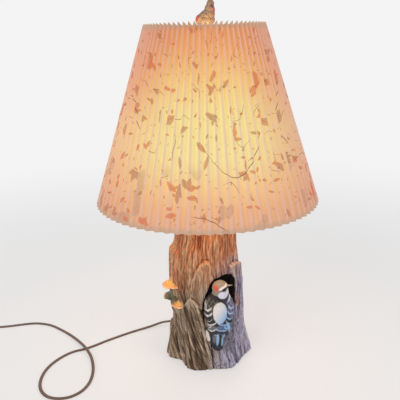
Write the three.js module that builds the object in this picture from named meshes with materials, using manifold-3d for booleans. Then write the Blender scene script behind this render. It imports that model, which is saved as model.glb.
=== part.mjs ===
// Table lamp: a cast tree trunk with a woodpecker at a hollow, a pleated shade and a bird finial.
// Millimetres, +Z up. The origin is on the table, under the middle of the shade.
import * as THREE from "three";
import { mergeVertices } from "three/addons/utils/BufferGeometryUtils.js";
import Module from "manifold-3d";

const wasm = await Module();
wasm.setup();

// Clearances
const seat = 0.3;
const cutOver = 4;
const slide = 0.4;

// Trunk casting and felt
const feltThickness = 1.5;
const feltInset = 3;
const trunkHeight = 261.7;
const footRadius = 74;
const trunkWall = 9;
const trunkTopWall = 12;
const ridgeCount = 16;
const ridgeDepth = 1.3;
const furrowDepth = 3;
const frontBulge = 6;
const exitRaise = 5.92;
const frontFootRaise = 3;
const barkColumns = 136;
const trunkRings = 33;
const barkGrip = 5;
const leftPlateRaise = 5.5;
const rightPlateRaise = 4;
const tongueRaise = 5;
const lipRaise = 7.5;
const plateEdge = 2.4;
const nicheWidth = 56.5;
const nicheHeight = 71.5;
const nicheSide = 15.8;
const nicheFloor = 92;
const nicheDepth = 27;
const nicheBackWall = 6;

// Woodpecker
const birdHeight = 134.5;
const birdFoot = 32;
const birdSide = 14.5;
const birdWidth = 48.7;
const birdReach = 27;
const headRadius = 13.7;
const beakLength = 12;
const beakRadius = 2.6;
const wingLength = 54;
const wingThickness = 14;
const wingDepth = 19;

// Bracket fungi
const fungusReach = 23;
const fungusHeight = 19;

// Cord
const cordWidth = 5.2;
const cordThickness = 2.8;
const cordAngle = 135;
const exitHeight = 14;
const bushingFlangeRadius = 8;
const bushingFlange = 3;
const bushingStemRadius = 6;
const bushingNoseRadius = 4.2;
const bushingLength = 24;
const floorLift = 0.25;
const wireRadius = 1;

// Stack of fittings on the trunk
const nippleRadius = 4.9;
const nippleBore = 3.4;
const nippleBelow = 22;
const nippleAbove = 17.5;
const washerRadius = 13;
const washerThickness = 2;
const nutFlats = 15;
const nutThickness = 4.6;
const checkRingRadius = 20;
const checkRingThickness = 2.8;
const lockNutThickness = 3.2;

// Harp
const harpFootSide = 31;
const harpHeight = 266.7;
const harpWidth = 115;
const harpWire = 1.9;
const saddleWidth = 18;
const saddleThickness = 1.6;
const saddlePost = 10;
const ferruleLength = 16;
const ferruleWall = 1.6;
const studRadius = 3.1;
const studLength = 13;
const studPlateRadius = 7.5;
const studPlate = 2;

// Lampholder
const capHeight = 22;
const capRadius = 17.3;
const capHub = 7.6;
const capWall = 0.8;
const shellRadius = 16.2;
const shellLength = 53;
const shellWall = 0.6;
const linerWall = 1;
const holderBodyRadius = 13.9;
const holderBodyHeight = 12;
const holderNeckRadius = 8.8;
const holderNeckHeight = 8;
const screwShellWall = 0.6;
const screwShellLength = 25;
const contactRadius = 4;
const contactThickness = 0.6;
const terminalRadius = 2.7;
const terminalLength = 2.6;
const switchShaftRadius = 1.8;
const switchKnobRadius = 5.5;
const switchKnobLength = 13;
const switchKnobFlutes = 12;
const switchStandOff = 3;

// Bulb
const bulbRadius = 30;
const bulbLength = 108;
const bulbCapRadius = 13;
const bulbCapLength = 22;
const bulbWall = 0.9;

// Shade
const shadeHeight = 270;
const shadeTopRadius = 91.5;
const shadeBottomRadius = 179.5;
const shadeAboveHub = 19.1;
const pleatCount = 76;
const pleatDepthTop = 7.6;
const pleatDepthBottom = 4.4;
const pleatWall = 1.1;
const pleatTooth = 3.8;
const ringWire = 1.7;
const topRingDrop = 6;
const bottomRingLift = 5;
const spiderWire = 1.6;
const spiderHubRadius = 14;
const spiderHubThickness = 1.6;
const spiderArms = 3;

// Finial
const finialHeight = 60;
const finialBaseRadius = 10;
const finialSide = 1.8;
const insertRadius = 5;
const insertLength = 11;

// Coil and plug
const coilLoops = 5.25;
const coilInner = 21.4;
const coilPitch = 5.9;
const coilStepsPerLoop = 24;
const coilLayer = 3.5;
const coilCentreX = -467;
const coilTail = 28;
const plugLength = 26;
const plugWidth = 20;
const plugThickness = 10.4;
const bladeLength = 16.5;
const bladeWidth = 6.35;
const bladeThickness = 1.5;
const bladeSpacing = 12.7;

// Route of the cord from the bushing to the coil, chosen by hand: side, depth, height
const cordRoute = [
  [-77, 73, 9.5], [-92, 74, 6.5], [-115, 64, 3.6], [-141.8, 52.5, 1.7], [-168.1, 36.1, 1.7],
  [-193.3, 18.6, 1.7], [-209.4, 6.1, 1.7], [-225.5, -4.4, 1.7], [-240.4, -10.1, 1.7],
  [-253.6, -19.5, 1.7], [-266.2, -35, 1.7], [-275.6, -53.3, 1.7], [-280.2, -76, 1.7],
  [-277.9, -101.3, 1.7], [-269, -121, 1.7], [-254.5, -134, 1.7], [-235.9, -138, 1.7],
  [-218.3, -133, 1.7], [-204.1, -118.5, 1.7], [-197.2, -96, 1.7], [-198.2, -67.1, 2.6],
  [-206.6, -37.5, 4.6], [-218.5, -14.5, 5.4], [-235, 9.5, 4.6], [-260, 39, 2.6], [-286.5, 63, 1.7],
  [-310, 79.5, 1.7], [-334.2, 87.5, 1.7], [-353.9, 87.6, 1.7], [-372.5, 84, 1.7],
  [-390.9, 80, 1.7], [-409.8, 77.4, 1.7],
];

// Route of the cord inside the casting: side and depth as shares of the foot radius, then the height share
const innerShares = [
  [-0.41, 0.42, 0.073], [-0.24, 0.27, 0.153], [-0.18, 0.22, 0.325], [-0.12, 0.19, 0.535],
  [-0.054, 0.11, 0.745], [0, 0.02, 0.871],
];

// Mean radius and lean of the trunk, as [height share, share of the foot radius]
const trunkShares = [
  [0, 0.912], [0.035, 0.895], [0.09, 0.865], [0.184, 0.82], [0.35, 0.785], [0.53, 0.77], [0.66, 0.755],
  [0.755, 0.722], [0.81, 0.69], [1, 0.62],
];
const leanShares = [[0, -0.02], [0.09, -0.035], [0.184, -0.05], [0.53, -0.055], [0.755, -0.065], [1, 0]];

const trunkBottom = feltThickness + seat;
const trunkTop = trunkBottom + trunkHeight;

function degrees(angle) {
  return THREE.MathUtils.degToRad(angle);
}

function smoothShare(value, low, high) {
  return THREE.MathUtils.smoothstep(value, low, high);
}

// Value of a table of shares at one height share
function shareAt(shares, height) {
  const last = shares.length - 1;
  const next = shares.findIndex(([h]) => h >= height);
  if (next <= 0) return shares[next === 0 ? 0 : last][1];
  const [h0, v0] = shares[next - 1];
  const [h1, v1] = shares[next];
  return THREE.MathUtils.mapLinear(height, h0, h1, v0, v1);
}

// Solid of a closed geometry, for joins and cuts
function solidOf(geometry) {
  const plain = geometry.index ? geometry.toNonIndexed() : geometry.clone();
  plain.deleteAttribute("normal");
  plain.deleteAttribute("uv");
  const merged = mergeVertices(plain, seat / 100);
  const mesh = new wasm.Mesh({
    numProp: 3,
    vertProperties: merged.attributes.position.array,
    triVerts: new Uint32Array(merged.index.array),
  });
  return new wasm.Manifold(mesh);
}

function geometryOf(solid) {
  const mesh = solid.getMesh();
  const geometry = new THREE.BufferGeometry();
  geometry.setAttribute("position", new THREE.BufferAttribute(mesh.vertProperties, mesh.numProp));
  geometry.setIndex(new THREE.BufferAttribute(mesh.triVerts, 1));
  return geometry;
}

const finishes = {
  bark: { color: 0x8f735c, roughness: 0.9 },
  feathers: { color: 0x2b2c30, roughness: 0.75 },
  fungus: { color: 0xc58a45, roughness: 0.7 },
  felt: { color: 0x33402f, roughness: 1 },
  brass: { color: 0xb58d45, roughness: 0.35, metalness: 1 },
  steel: { color: 0x9a9a98, roughness: 0.4, metalness: 1 },
  card: { color: 0x6d5a44, roughness: 0.95 },
  bakelite: { color: 0x1d1a18, roughness: 0.45 },
  glass: { color: 0xfff2d8, roughness: 0.25 },
  fabric: { color: 0xe0a77c, roughness: 0.9 },
  resin: { color: 0xcfae86, roughness: 0.6 },
  cord: { color: 0x4a3426, roughness: 0.55 },
  copper: { color: 0xb06a3a, roughness: 0.45, metalness: 1 },
};

function piece(name, geometry, finish) {
  geometry.computeVertexNormals();
  const mesh = new THREE.Mesh(geometry, new THREE.MeshStandardMaterial(finishes[finish]));
  mesh.name = name;
  return mesh;
}

// Turned piece: the profile runs up the outside and down the inside, as [radius, height]
function turned(profile, sides = 18) {
  const points = profile.map(([radius, height]) => new THREE.Vector2(radius, height));
  return new THREE.LatheGeometry(points, sides).rotateX(degrees(90));
}

function tube(outer, inner, low, high, sides = 18) {
  return turned([[outer, low], [outer, high], [inner, high], [inner, low], [outer, low]], sides);
}

function disc(radius, low, high, sides = 18) {
  return turned([[0, low], [radius, low], [radius, high], [0, high]], sides);
}

// Closed skin through rings of equal counts, with its ends closed to their middles
function lofted(rings) {
  const count = rings[0].length;
  const positions = rings.flat();
  const middle = (ring) => ring.reduce((sum, p) => sum.add(p), new THREE.Vector3()).divideScalar(count);
  positions.push(middle(rings[0]), middle(rings[rings.length - 1]));
  const first = rings.length * count;
  const index = [];
  for (let j = 0; j < count; j += 1) {
    const k = (j + 1) % count;
    for (let i = 0; i < rings.length - 1; i += 1) {
      const a = i * count;
      const b = a + count;
      index.push(a + j, a + k, b + k, a + j, b + k, b + j);
    }
    const top = (rings.length - 1) * count;
    index.push(first, k, j, first + 1, top + j, top + k);
  }
  const geometry = new THREE.BufferGeometry().setFromPoints(positions);
  geometry.setIndex(index);
  return geometry;
}

// Skin that closes on itself, ring after ring
function loopedSkin(rings) {
  const count = rings[0].length;
  const index = [];
  rings.forEach((ring, i) => {
    const a = i * count;
    const b = ((i + 1) % rings.length) * count;
    for (let j = 0; j < count; j += 1) {
      const k = (j + 1) % count;
      index.push(a + j, a + k, b + k, a + j, b + k, b + j);
    }
  });
  const geometry = new THREE.BufferGeometry().setFromPoints(rings.flat());
  geometry.setIndex(index);
  return geometry;
}

function ellipseShape(halfX, halfY, sides) {
  const points = [];
  for (let i = 0; i < sides; i += 1) {
    const angle = (i / sides) * degrees(360);
    points.push(new THREE.Vector2(halfX * Math.cos(angle), halfY * Math.sin(angle)));
  }
  return new THREE.Shape(points);
}

// Bar of a round or flat section along a curve
function swept(points, halfX, halfY, steps, sides = 8) {
  const curve = new THREE.CatmullRomCurve3(points.map((p) => new THREE.Vector3(...p)));
  return new THREE.ExtrudeGeometry(ellipseShape(halfX, halfY, sides), { steps, extrudePath: curve });
}

// Ellipsoid with its own three half sizes
function egg(half, centre, sides = 12) {
  const ball = new THREE.SphereGeometry(1, sides, (sides * 3) / 4);
  return ball.rotateX(degrees(90)).scale(...half).translate(...centre);
}

// Trunk

// Bark slabs that stand proud, as [angle low, angle high, height low, height high, raise]
const barkSlabs = [
  [147, 214, 0.32, 0.747, leftPlateRaise],
  [147, 214, -0.1, 0.185, leftPlateRaise],
  [112, 160, -0.1, 0.14, exitRaise],
  [-126, -54, -0.1, 0.06, frontFootRaise],
  [-50, 20, -0.1, 0.34, rightPlateRaise],
];

// Plates of bark round the hollow: outline in [angle, height share], raise, how far they calm the furrows,
// and the angles and the heights over which they rise
const always = [-999, -998];
const barkPlates = [
  {
    outline: [
      [-82.8, 0.695], [-84.7, 0.727], [-89.7, 0.737], [-95, 0.724], [-104.5, 0.675], [-112, 0.602],
      [-115.8, 0.531], [-116.2, 0.47], [-107, 0.452], [-98, 0.41], [-90, 0.43], [-86, 0.5], [-80, 0.577],
      [-80, 0.62], [-83.2, 0.64],
    ],
    raise: tongueRaise, calm: 0.85, turn: always, rise: always,
  },
  {
    outline: [
      [-115, 0.487], [-108.7, 0.476], [-102.8, 0.453], [-98.8, 0.396], [-96.2, 0.334], [-93, 0.243],
      [-90.6, 0.179], [-87, 0.104], [-84, -0.1], [-145, -0.1], [-145, 0.3], [-128, 0.42],
    ],
    raise: lipRaise, calm: 0.1, turn: [-140, -113], rise: [-0.08, 0.3],
  },
  {
    outline: [
      [-51, 0.675], [-37, 0.685], [-8, 0.64], [2, 0.625], [2, 0.29], [-52, 0.27], [-50, 0.4], [-50, 0.56],
      [-44, 0.605],
    ],
    raise: tongueRaise, calm: 0.4, turn: always, rise: always,
  },
];

function meanRadius(height) {
  return footRadius * shareAt(trunkShares, height);
}

function leanAt(height) {
  return footRadius * shareAt(leanShares, height);
}

function slabRaise(angle, height) {
  return barkSlabs.reduce((most, [a0, a1, h0, h1, raise]) => {
    const near = smoothShare(angle, a0 - 8, a0 + 8);
    const across = near * (1 - smoothShare(angle, a1 - 8, a1 + 8));
    const low = smoothShare(height, h0 - 0.01, h0 + 0.03);
    const along = low * (1 - smoothShare(height, h1 - 0.02, h1 + 0.02));
    return Math.max(most, raise * across * along);
  }, 0);
}

// Distance to an outline, positive inside it
function depthIn(outline, here) {
  const ends = outline.map((start, i) => [start, outline[(i + 1) % outline.length]]);
  const nearest = ends.reduce((least, [start, end]) => {
    const foot = new THREE.Line3(start, end).closestPointToPoint(here, true, new THREE.Vector3());
    return Math.min(least, foot.distanceTo(here));
  }, Infinity);
  const crossed = ends.filter(([start, end]) => {
    const spans = start.y > here.y !== end.y > here.y;
    return spans && here.x < start.x + ((end.x - start.x) * (here.y - start.y)) / (end.y - start.y);
  });
  return crossed.length % 2 ? nearest : -nearest;
}

// Raise of the plates of bark at a place, and how far they calm its furrows
function plateAt(angle, height) {
  const unrolled = ([a, h]) => new THREE.Vector3(degrees(a) * footRadius, h * trunkHeight, 0);
  const here = unrolled([angle, height]);
  return barkPlates.reduce(([most, calmest], { outline, raise, calm, turn, rise }) => {
    const depth = depthIn(outline.map(unrolled), here);
    const share = smoothShare(depth, -plateEdge / 2, plateEdge) * smoothShare(angle, ...turn);
    const lifted = raise * share * smoothShare(height, ...rise);
    return [Math.max(most, lifted), Math.max(calmest, calm * share)];
  }, [0, 0]);
}

// Long furrows that wander, meet and part: 1 in the middle of one and 0 beside it
function furrowAt(angle, height) {
  const turn = angle > 55 ? angle - 360 : angle;
  const near = (turn + 125) / 45;
  const swept = 26 * Math.max(0, 1 - height * 2) * Math.exp(-near * near);
  const flow = degrees(turn - swept);
  const sway = 0.9 * Math.sin(height * 5 + 1) + 0.5 * Math.sin(height * 13 + flow * 2);
  const first = Math.sin(ridgeCount * flow + sway);
  const bend = 0.9 * Math.sin(flow * 3 + height * 5);
  const second = Math.sin(flow * 11 - height * 6 + bend);
  return 1 - smoothShare(Math.abs(first + 0.8 * second), 0.05, 0.85);
}

function barkRidge(angle, height, calm) {
  const deep = 0.6 + 0.4 * (1 - smoothShare(height, 0.38, 0.6));
  const cut = furrowDepth * (deep * furrowAt(angle, height) * (1 - calm) - 0.35);
  return ridgeDepth * Math.cos(7 * degrees(angle) - height * 4) - cut;
}

// Surface of the bark at an angle from -180 to 180 and a height share
function barkRadius(angle, height) {
  const turn = angle < -140 ? angle + 360 : angle;
  const flare = footRadius * 0.045 * (1 - smoothShare(height, 0, 0.12));
  const foot = flare * Math.cos(7 * degrees(angle) + 1.24);
  const [plate, calm] = plateAt(angle, height);
  const raised = Math.max(slabRaise(turn, height), plate);
  const front = frontBulge * Math.max(0, -Math.sin(degrees(angle))) ** 2;
  return meanRadius(height) + front + barkRidge(angle, height, calm) + foot + raised;
}

function trunkRing(height, radiusAt, sides, back = 0) {
  const ring = [];
  for (let j = 0; j < sides; j += 1) {
    const angle = (j / sides) * 360 - 180;
    const radius = radiusAt(angle, height);
    const x = leanAt(height) + radius * Math.cos(degrees(angle));
    const y = back + radius * Math.sin(degrees(angle));
    ring.push(new THREE.Vector3(x, y, trunkBottom + height * trunkHeight));
  }
  return ring;
}

function barkSkin() {
  const rings = [];
  for (let i = 0; i <= trunkRings; i += 1) {
    rings.push(trunkRing(i / trunkRings, barkRadius, barkColumns));
  }
  return lofted(rings);
}

// Plain inner form of the trunk, a set depth below the mean surface
function trunkCore(depth) {
  const shares = trunkShares.map(([height]) => height);
  return lofted(shares.map((height) => trunkRing(height, (_, h) => meanRadius(h) - depth, 32)));
}

// Hollow of the casting: it keeps its wall at the back, and behind the niche it draws back
function trunkHollow() {
  const top = 1 - trunkTopWall / trunkHeight;
  const rings = [-0.02, 0.06, 0.2, 0.3, 0.4, 0.55, 0.68, 0.8, top].map((height) => {
    const near = smoothShare(height, 0.12, 0.3) * (1 - smoothShare(height, 0.66, 0.82));
    const drawn = (near * (nicheDepth + nicheBackWall - trunkWall)) / 2;
    const radiusAt = (_, h) => meanRadius(Math.max(h, 0)) - trunkWall - drawn;
    return trunkRing(height, radiusAt, 28, drawn);
  });
  return lofted(rings);
}

// Outline of the niche, as shares of its width from its middle and of its height
const nicheShares = [
  [-0.45, 0], [-0.5, 0.25], [-0.466, 0.46], [-0.34, 0.74], [-0.2, 0.96], [0.1, 1], [0.4, 0.99],
  [0.5, 0.9], [0.49, 0.6], [0.473, 0.25], [0.39, 0],
];

function nicheCutter() {
  const middleShare = nicheFloor / trunkHeight + nicheHeight / trunkHeight / 2;
  const front = -meanRadius(middleShare) - frontBulge;
  const ringAt = (y, share) =>
    nicheShares.map(([x, z]) => {
      const side = nicheSide + nicheWidth * x * share;
      return new THREE.Vector3(side, y, nicheFloor + nicheHeight * (0.5 + (z - 0.5) * share));
    });
  const mouth = front - lipRaise - ridgeDepth - cutOver;
  return lofted([
    ringAt(mouth, 1),
    ringAt(front + nicheDepth * 0.5, 1),
    ringAt(front + nicheDepth * 0.8, 0.9),
    ringAt(front + nicheDepth, 0.72),
  ]);
}

// Direction of the cord's exit, and a turned piece laid along it
function alongExit(geometry) {
  return geometry.rotateY(degrees(90)).rotateZ(degrees(cordAngle)).translate(0, 0, exitHeight);
}

const exitSeat = meanRadius(exitHeight / trunkHeight) + exitRaise - trunkWall / 2;

function trunkCasting(bird, fungi) {
  const topWallLow = trunkTop - trunkTopWall;
  const nippleHole = solidOf(disc(nippleRadius + seat, topWallLow - cutOver, trunkTop + cutOver));
  const inside = exitSeat - trunkWall * 1.5;
  const exitHole = solidOf(alongExit(disc(bushingStemRadius + seat, inside, exitSeat + cutOver)));
  const exitFlat = solidOf(alongExit(disc(bushingFlangeRadius + seat * 2, exitSeat, footRadius * 1.3)));
  const hollows = [solidOf(trunkHollow()), solidOf(nicheCutter())];
  const cuts = [...hollows, nippleHole, exitHole, exitFlat, bird, ...fungi];
  return cuts.reduce((trunk, cut) => trunk.subtract(cut), solidOf(barkSkin()));
}

// Woodpecker, its back to the front, head turned to the right

// Body sections as [height share, side, half width, front, back], the last four as shares of the bird's width
const bodyShares = [
  [0, -0.12, 0.2, 0.12, -0.02], [0.05, -0.12, 0.3, 0.15, -0.04], [0.17, -0.09, 0.31, 0.21, -0.05],
  [0.28, -0.06, 0.34, 0.3, -0.06], [0.38, -0.02, 0.41, 0.38, -0.06], [0.49, 0, 0.47, 0.46, -0.08],
  [0.595, 0.01, 0.5, 0.52, -0.1], [0.69, 0.01, 0.46, 0.52, -0.14], [0.76, 0.03, 0.39, 0.5, -0.16],
  [0.83, 0.06, 0.31, 0.46, -0.16], [0.88, 0.07, 0.22, 0.4, -0.1],
];

function birdSolid(grow) {
  const surface = -meanRadius(nicheFloor / trunkHeight) - frontBulge + ridgeDepth;
  const sections = bodyShares.map(([height, side, half, front, back], i) => {
    const low = surface - birdWidth * front - grow;
    const high = surface - birdWidth * back + grow;
    const end = i === 0 ? -grow : i === bodyShares.length - 1 ? grow : 0;
    const ring = [];
    for (let j = 0; j < 14; j += 1) {
      const angle = (j / 14) * degrees(360);
      const x = birdSide + birdWidth * side + (birdWidth * half + grow) * Math.cos(angle);
      const y = (low + high) / 2 + ((high - low) / 2) * Math.sin(angle);
      ring.push(new THREE.Vector3(x, y, birdFoot + birdHeight * height + end));
    }
    return ring;
  });
  const headTop = birdFoot + birdHeight;
  const headSide = birdSide + birdWidth * 0.09;
  const headY = surface - birdReach * 0.42;
  const round = headRadius + grow;
  const head = egg([round, round, round], [headSide, headY, headTop - headRadius]);
  const tip = beakRadius * 0.25 + grow;
  const beak = new THREE.CylinderGeometry(tip, beakRadius + grow, beakLength + grow, 8);
  beak.rotateZ(degrees(-102));
  const beakSide = headSide + headRadius * 0.72 + beakLength / 2;
  beak.translate(beakSide, headY - headRadius * 0.2, headTop - headRadius * 0.72);
  const wingHeight = birdFoot + birdHeight * 0.55;
  const wings = [-1, 1].map((hand) =>
    egg(
      [wingThickness / 2 + grow, wingDepth / 2 + grow, wingLength / 2 + grow],
      [birdSide + hand * (birdWidth / 2 - wingThickness / 2), surface - birdReach * 0.5, wingHeight],
    ),
  );
  const parts = [head, beak, ...wings];
  return parts.reduce((bird, part) => bird.add(solidOf(part)), solidOf(lofted(sections)));
}

// Bracket fungi: angle, height share of the underside, then half width, reach and height as shares
const fungusShares = [
  { angle: -160, underside: 0.498, wide: 0.58, reach: 1, tall: 1 },
  { angle: -163, underside: 0.418, wide: 0.52, reach: 0.83, tall: 0.6 },
  { angle: -142, underside: 0.388, wide: 0.42, reach: 0.6, tall: 1.05 },
];

// Section of a fungus, as [reach share, height share]
const domeShares = [[1, 0.1], [0.8, 0.3], [0.45, 0.62], [0.18, 0.88], [0, 1]];

function fungusSolid({ angle, underside, wide, reach, tall }, grow) {
  const high = fungusHeight * tall + grow;
  const upper = domeShares.map(([out, up]) => [out, high * up]);
  const dome = turned([[0, -grow], [0.93, -grow], ...upper], 14);
  const half = fungusReach * reach + barkGrip + grow;
  dome.scale(half, fungusReach * wide + grow, 1).rotateZ(degrees(angle));
  const from = meanRadius(underside) - barkGrip;
  const x = leanAt(underside) + from * Math.cos(degrees(angle));
  dome.translate(x, from * Math.sin(degrees(angle)), trunkBottom + underside * trunkHeight);
  return solidOf(dome).subtract(solidOf(trunkCore(barkGrip + grow)));
}

// Felt under the foot
function feltPad() {
  const edge = (angle, height) => barkRadius(angle, height) - feltInset;
  const outline = trunkRing(0, edge, barkColumns / 2);
  const shape = new THREE.Shape(outline.map((p) => new THREE.Vector2(p.x, p.y)));
  return new THREE.ExtrudeGeometry(shape, { depth: feltThickness, bevelEnabled: false });
}

function buildBase() {
  const group = new THREE.Group();
  const grownFungi = fungusShares.map((shares) => fungusSolid(shares, seat));
  const trunk = trunkCasting(birdSolid(seat), grownFungi).decompose();
  trunk.sort((a, b) => b.volume() - a.volume());
  group.add(piece("trunk_casting", geometryOf(trunk[0]), "bark"));
  group.add(piece("woodpecker", geometryOf(birdSolid(0)), "feathers"));
  ["fungus_upper", "fungus_middle", "fungus_lower"].forEach((name, i) => {
    group.add(piece(name, geometryOf(fungusSolid(fungusShares[i], 0)), "fungus"));
  });
  group.add(piece("base_felt", feltPad(), "felt"));
  return group;
}

// Fittings stacked on the trunk

const checkRingLow = trunkTop + seat;
const saddleLow = checkRingLow + checkRingThickness + seat;
const lockNutLow = saddleLow + saddleThickness + seat;
const capLow = lockNutLow + lockNutThickness + seat;
const nippleTop = trunkTop + nippleAbove;

function hexNut(low, thickness) {
  const corner = nutFlats / 2 / Math.cos(degrees(30));
  const shape = ellipseShape(corner, corner, 6);
  shape.holes.push(ellipseShape(nippleRadius + seat, nippleRadius + seat, 18));
  return new THREE.ExtrudeGeometry(shape, { depth: thickness, bevelEnabled: false }).translate(0, 0, low);
}

function buildNippleStack() {
  const group = new THREE.Group();
  const under = trunkTop - trunkTopWall - seat;
  const bore = nippleRadius + seat;
  const washerLow = under - washerThickness;
  const nipple = tube(nippleRadius, nippleBore, trunkTop - nippleBelow, nippleTop, 20);
  group.add(piece("threaded_nipple", nipple, "steel"));
  group.add(piece("bottom_washer", tube(washerRadius, bore, washerLow, under), "steel"));
  group.add(piece("bottom_nut", hexNut(washerLow - seat - nutThickness, nutThickness), "steel"));
  const edge = checkRingLow + checkRingThickness * 0.4;
  const crown = checkRingLow + checkRingThickness;
  const ring = [
    [checkRingRadius, checkRingLow], [checkRingRadius, edge], [checkRingRadius * 0.9, crown],
    [bore, crown], [bore, checkRingLow], [checkRingRadius, checkRingLow],
  ];
  group.add(piece("check_ring", turned(ring), "brass"));
  group.add(piece("top_lock_nut", hexNut(lockNutLow, lockNutThickness), "steel"));
  return group;
}

// Harp: a strip with two posts, a sprung bow, two sliding ferrules and a threaded stud

const legLow = saddleLow + saddleThickness + saddlePost + seat;
const bowTop = saddleLow + harpHeight - studPlate - seat;
const studPlateLow = bowTop + seat;
const hubLow = studPlateLow + studPlate + seat;

function harpSaddle() {
  const length = harpFootSide * 2 + saddleWidth * 0.5;
  const strip = new THREE.BoxGeometry(length, saddleWidth, saddleThickness);
  strip.translate(0, 0, saddleLow + saddleThickness / 2);
  const hole = solidOf(disc(nippleRadius + seat, saddleLow - cutOver, saddleLow + cutOver, 20));
  const corners = [-1, 1].map((hand) => {
    const post = disc(harpWire, saddleLow + saddleThickness / 2, legLow - seat, 12);
    return solidOf(post.translate(hand * harpFootSide, 0, 0));
  });
  return corners.reduce((saddle, post) => saddle.add(post), solidOf(strip).subtract(hole));
}

// Half of the bow's centre line, as shares of the half width and of the rise from the leg's foot
const bowShares = [
  [0.13, 0.085], [0.24, 0.15], [0.63, 0.29], [0.93, 0.41], [1, 0.53], [0.93, 0.68], [0.72, 0.82],
  [0.45, 0.92], [0.2, 0.98],
];

function harpBow() {
  const rise = bowTop - harpWire - legLow;
  const half = harpWidth / 2 - harpWire;
  const left = [[-harpFootSide, 0, legLow], [-harpFootSide, 0, legLow + rise * 0.05]];
  bowShares.forEach(([out, up]) => {
    const leg = harpFootSide + (half - harpFootSide) * (out - 0.13) * 0.5;
    left.push([up < 0.2 ? -leg : -half * out, 0, legLow + rise * up]);
  });
  const right = left.map(([x, y, z]) => [-x, y, z]).reverse();
  return swept([...left, [0, 0, legLow + rise], ...right], harpWire, harpWire, 48, 6);
}

function ferrule(hand) {
  const inner = harpWire + slide;
  const outer = inner + ferruleWall;
  const low = saddleLow + saddleThickness + seat;
  const high = low + ferruleLength;
  const bead = outer + ferruleWall / 2;
  const rim = ferruleLength * 0.12;
  const outside = [[bead, low], [bead, low + rim], [outer, low + rim * 1.5], [outer, high]];
  const profile = [...outside, [inner, high], [inner, low], [bead, low]];
  return turned(profile, 14).translate(hand * harpFootSide, 0, 0);
}

function harpStud() {
  const top = studPlateLow + studPlate;
  const plate = [[0, studPlateLow], [studPlateRadius, studPlateLow], [studPlateRadius, top]];
  return turned([...plate, [studRadius, top], [studRadius, top + studLength], [0, top + studLength]], 20);
}

function buildHarp() {
  const group = new THREE.Group();
  group.add(piece("harp_saddle", geometryOf(harpSaddle()), "brass"));
  group.add(piece("harp_bow", harpBow(), "brass"));
  group.add(piece("harp_ferrule_left", ferrule(-1), "brass"));
  group.add(piece("harp_ferrule_right", ferrule(1), "brass"));
  group.add(piece("harp_stud", harpStud(), "brass"));
  return group;
}

// Lampholder with a turn switch

const capTop = capLow + capHeight;
const linerOuter = shellRadius - shellWall - seat;
const linerInner = linerOuter - linerWall;
const shellLow = capTop - capHeight * 0.3;
const neckLow = shellLow + seat;
const bodyLow = neckLow + holderNeckHeight;
const bodyTop = bodyLow + holderBodyHeight;
const switchHeight = bodyLow + holderBodyHeight / 2;
const contactLow = bodyTop + seat;
const bulbLow = contactLow + contactThickness + seat;

function acrossFront(geometry) {
  return geometry.rotateX(degrees(90)).translate(0, 0, switchHeight);
}

function shaftHole(from, to) {
  return solidOf(acrossFront(disc(switchShaftRadius + slide, from, to, 16)));
}

function socketCap() {
  const bore = nippleRadius + seat;
  const hubTop = capLow + capHeight * 0.3;
  const belly = capLow + capHeight * 0.62;
  const wide = capRadius - capWall;
  const outer = [
    [capHub, capLow], [capHub, hubTop], [capRadius * 0.8, belly - capWall * 2], [capRadius, belly],
    [capRadius, capTop],
  ];
  const inner = [
    [wide, capTop], [wide, belly + capWall], [capRadius * 0.8 - capWall, belly],
    [bore + capWall, hubTop + capWall], [bore, hubTop],
  ];
  return turned([...outer, ...inner, [bore, capLow], [capHub, capLow]]);
}

function holderBody() {
  const low = bodyLow - seat;
  const body = turned([
    [0, neckLow], [holderNeckRadius, neckLow], [holderNeckRadius, low], [holderBodyRadius, bodyLow],
    [holderBodyRadius, bodyTop], [0, bodyTop],
  ]);
  const well = solidOf(disc(wireRadius * 3.6, neckLow - cutOver, neckLow + holderNeckHeight * 0.4, 12));
  const hole = shaftHole(holderBodyRadius * 0.45, holderBodyRadius + cutOver);
  return solidOf(body).subtract(hole).subtract(well);
}

function screwShell() {
  const inner = bulbCapRadius + slide;
  const outer = inner + screwShellWall;
  const top = contactLow + screwShellLength;
  const profile = [[outer, contactLow]];
  const turns = 6;
  for (let i = 1; i < turns; i += 1) {
    const root = i % 2 ? screwShellWall / 4 : 0;
    profile.push([outer - root, contactLow + (screwShellLength * i) / turns]);
  }
  profile.push([outer, top], [inner, top], [inner, contactLow], [outer, contactLow]);
  return turned(profile);
}

function terminalScrew(hand) {
  const from = holderNeckRadius + seat;
  const screw = disc(terminalRadius, from, from + terminalLength, 10);
  return screw.rotateY(degrees(90 * hand)).translate(0, 0, neckLow + holderNeckHeight / 2);
}

function switchKnob() {
  const from = shellRadius + switchStandOff;
  const shape = new THREE.Shape();
  const count = switchKnobFlutes * 2;
  for (let i = 0; i <= count; i += 1) {
    const radius = switchKnobRadius * (i % 2 ? 1 : 0.9);
    const angle = (i / count) * degrees(360);
    if (i === 0) shape.moveTo(radius, 0);
    else shape.lineTo(radius * Math.cos(angle), radius * Math.sin(angle));
  }
  const knob = new THREE.ExtrudeGeometry(shape, { depth: switchKnobLength, bevelEnabled: false });
  knob.translate(0, 0, from);
  const blind = disc(switchShaftRadius + seat, from - cutOver, from + switchKnobLength * 0.6, 16);
  return solidOf(acrossFront(knob)).subtract(solidOf(acrossFront(blind)));
}

function switchShaft() {
  const low = holderBodyRadius * 0.45 + seat;
  const high = shellRadius + switchStandOff + switchKnobLength * 0.6 - seat;
  return acrossFront(disc(switchShaftRadius, low, high, 16));
}

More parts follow.
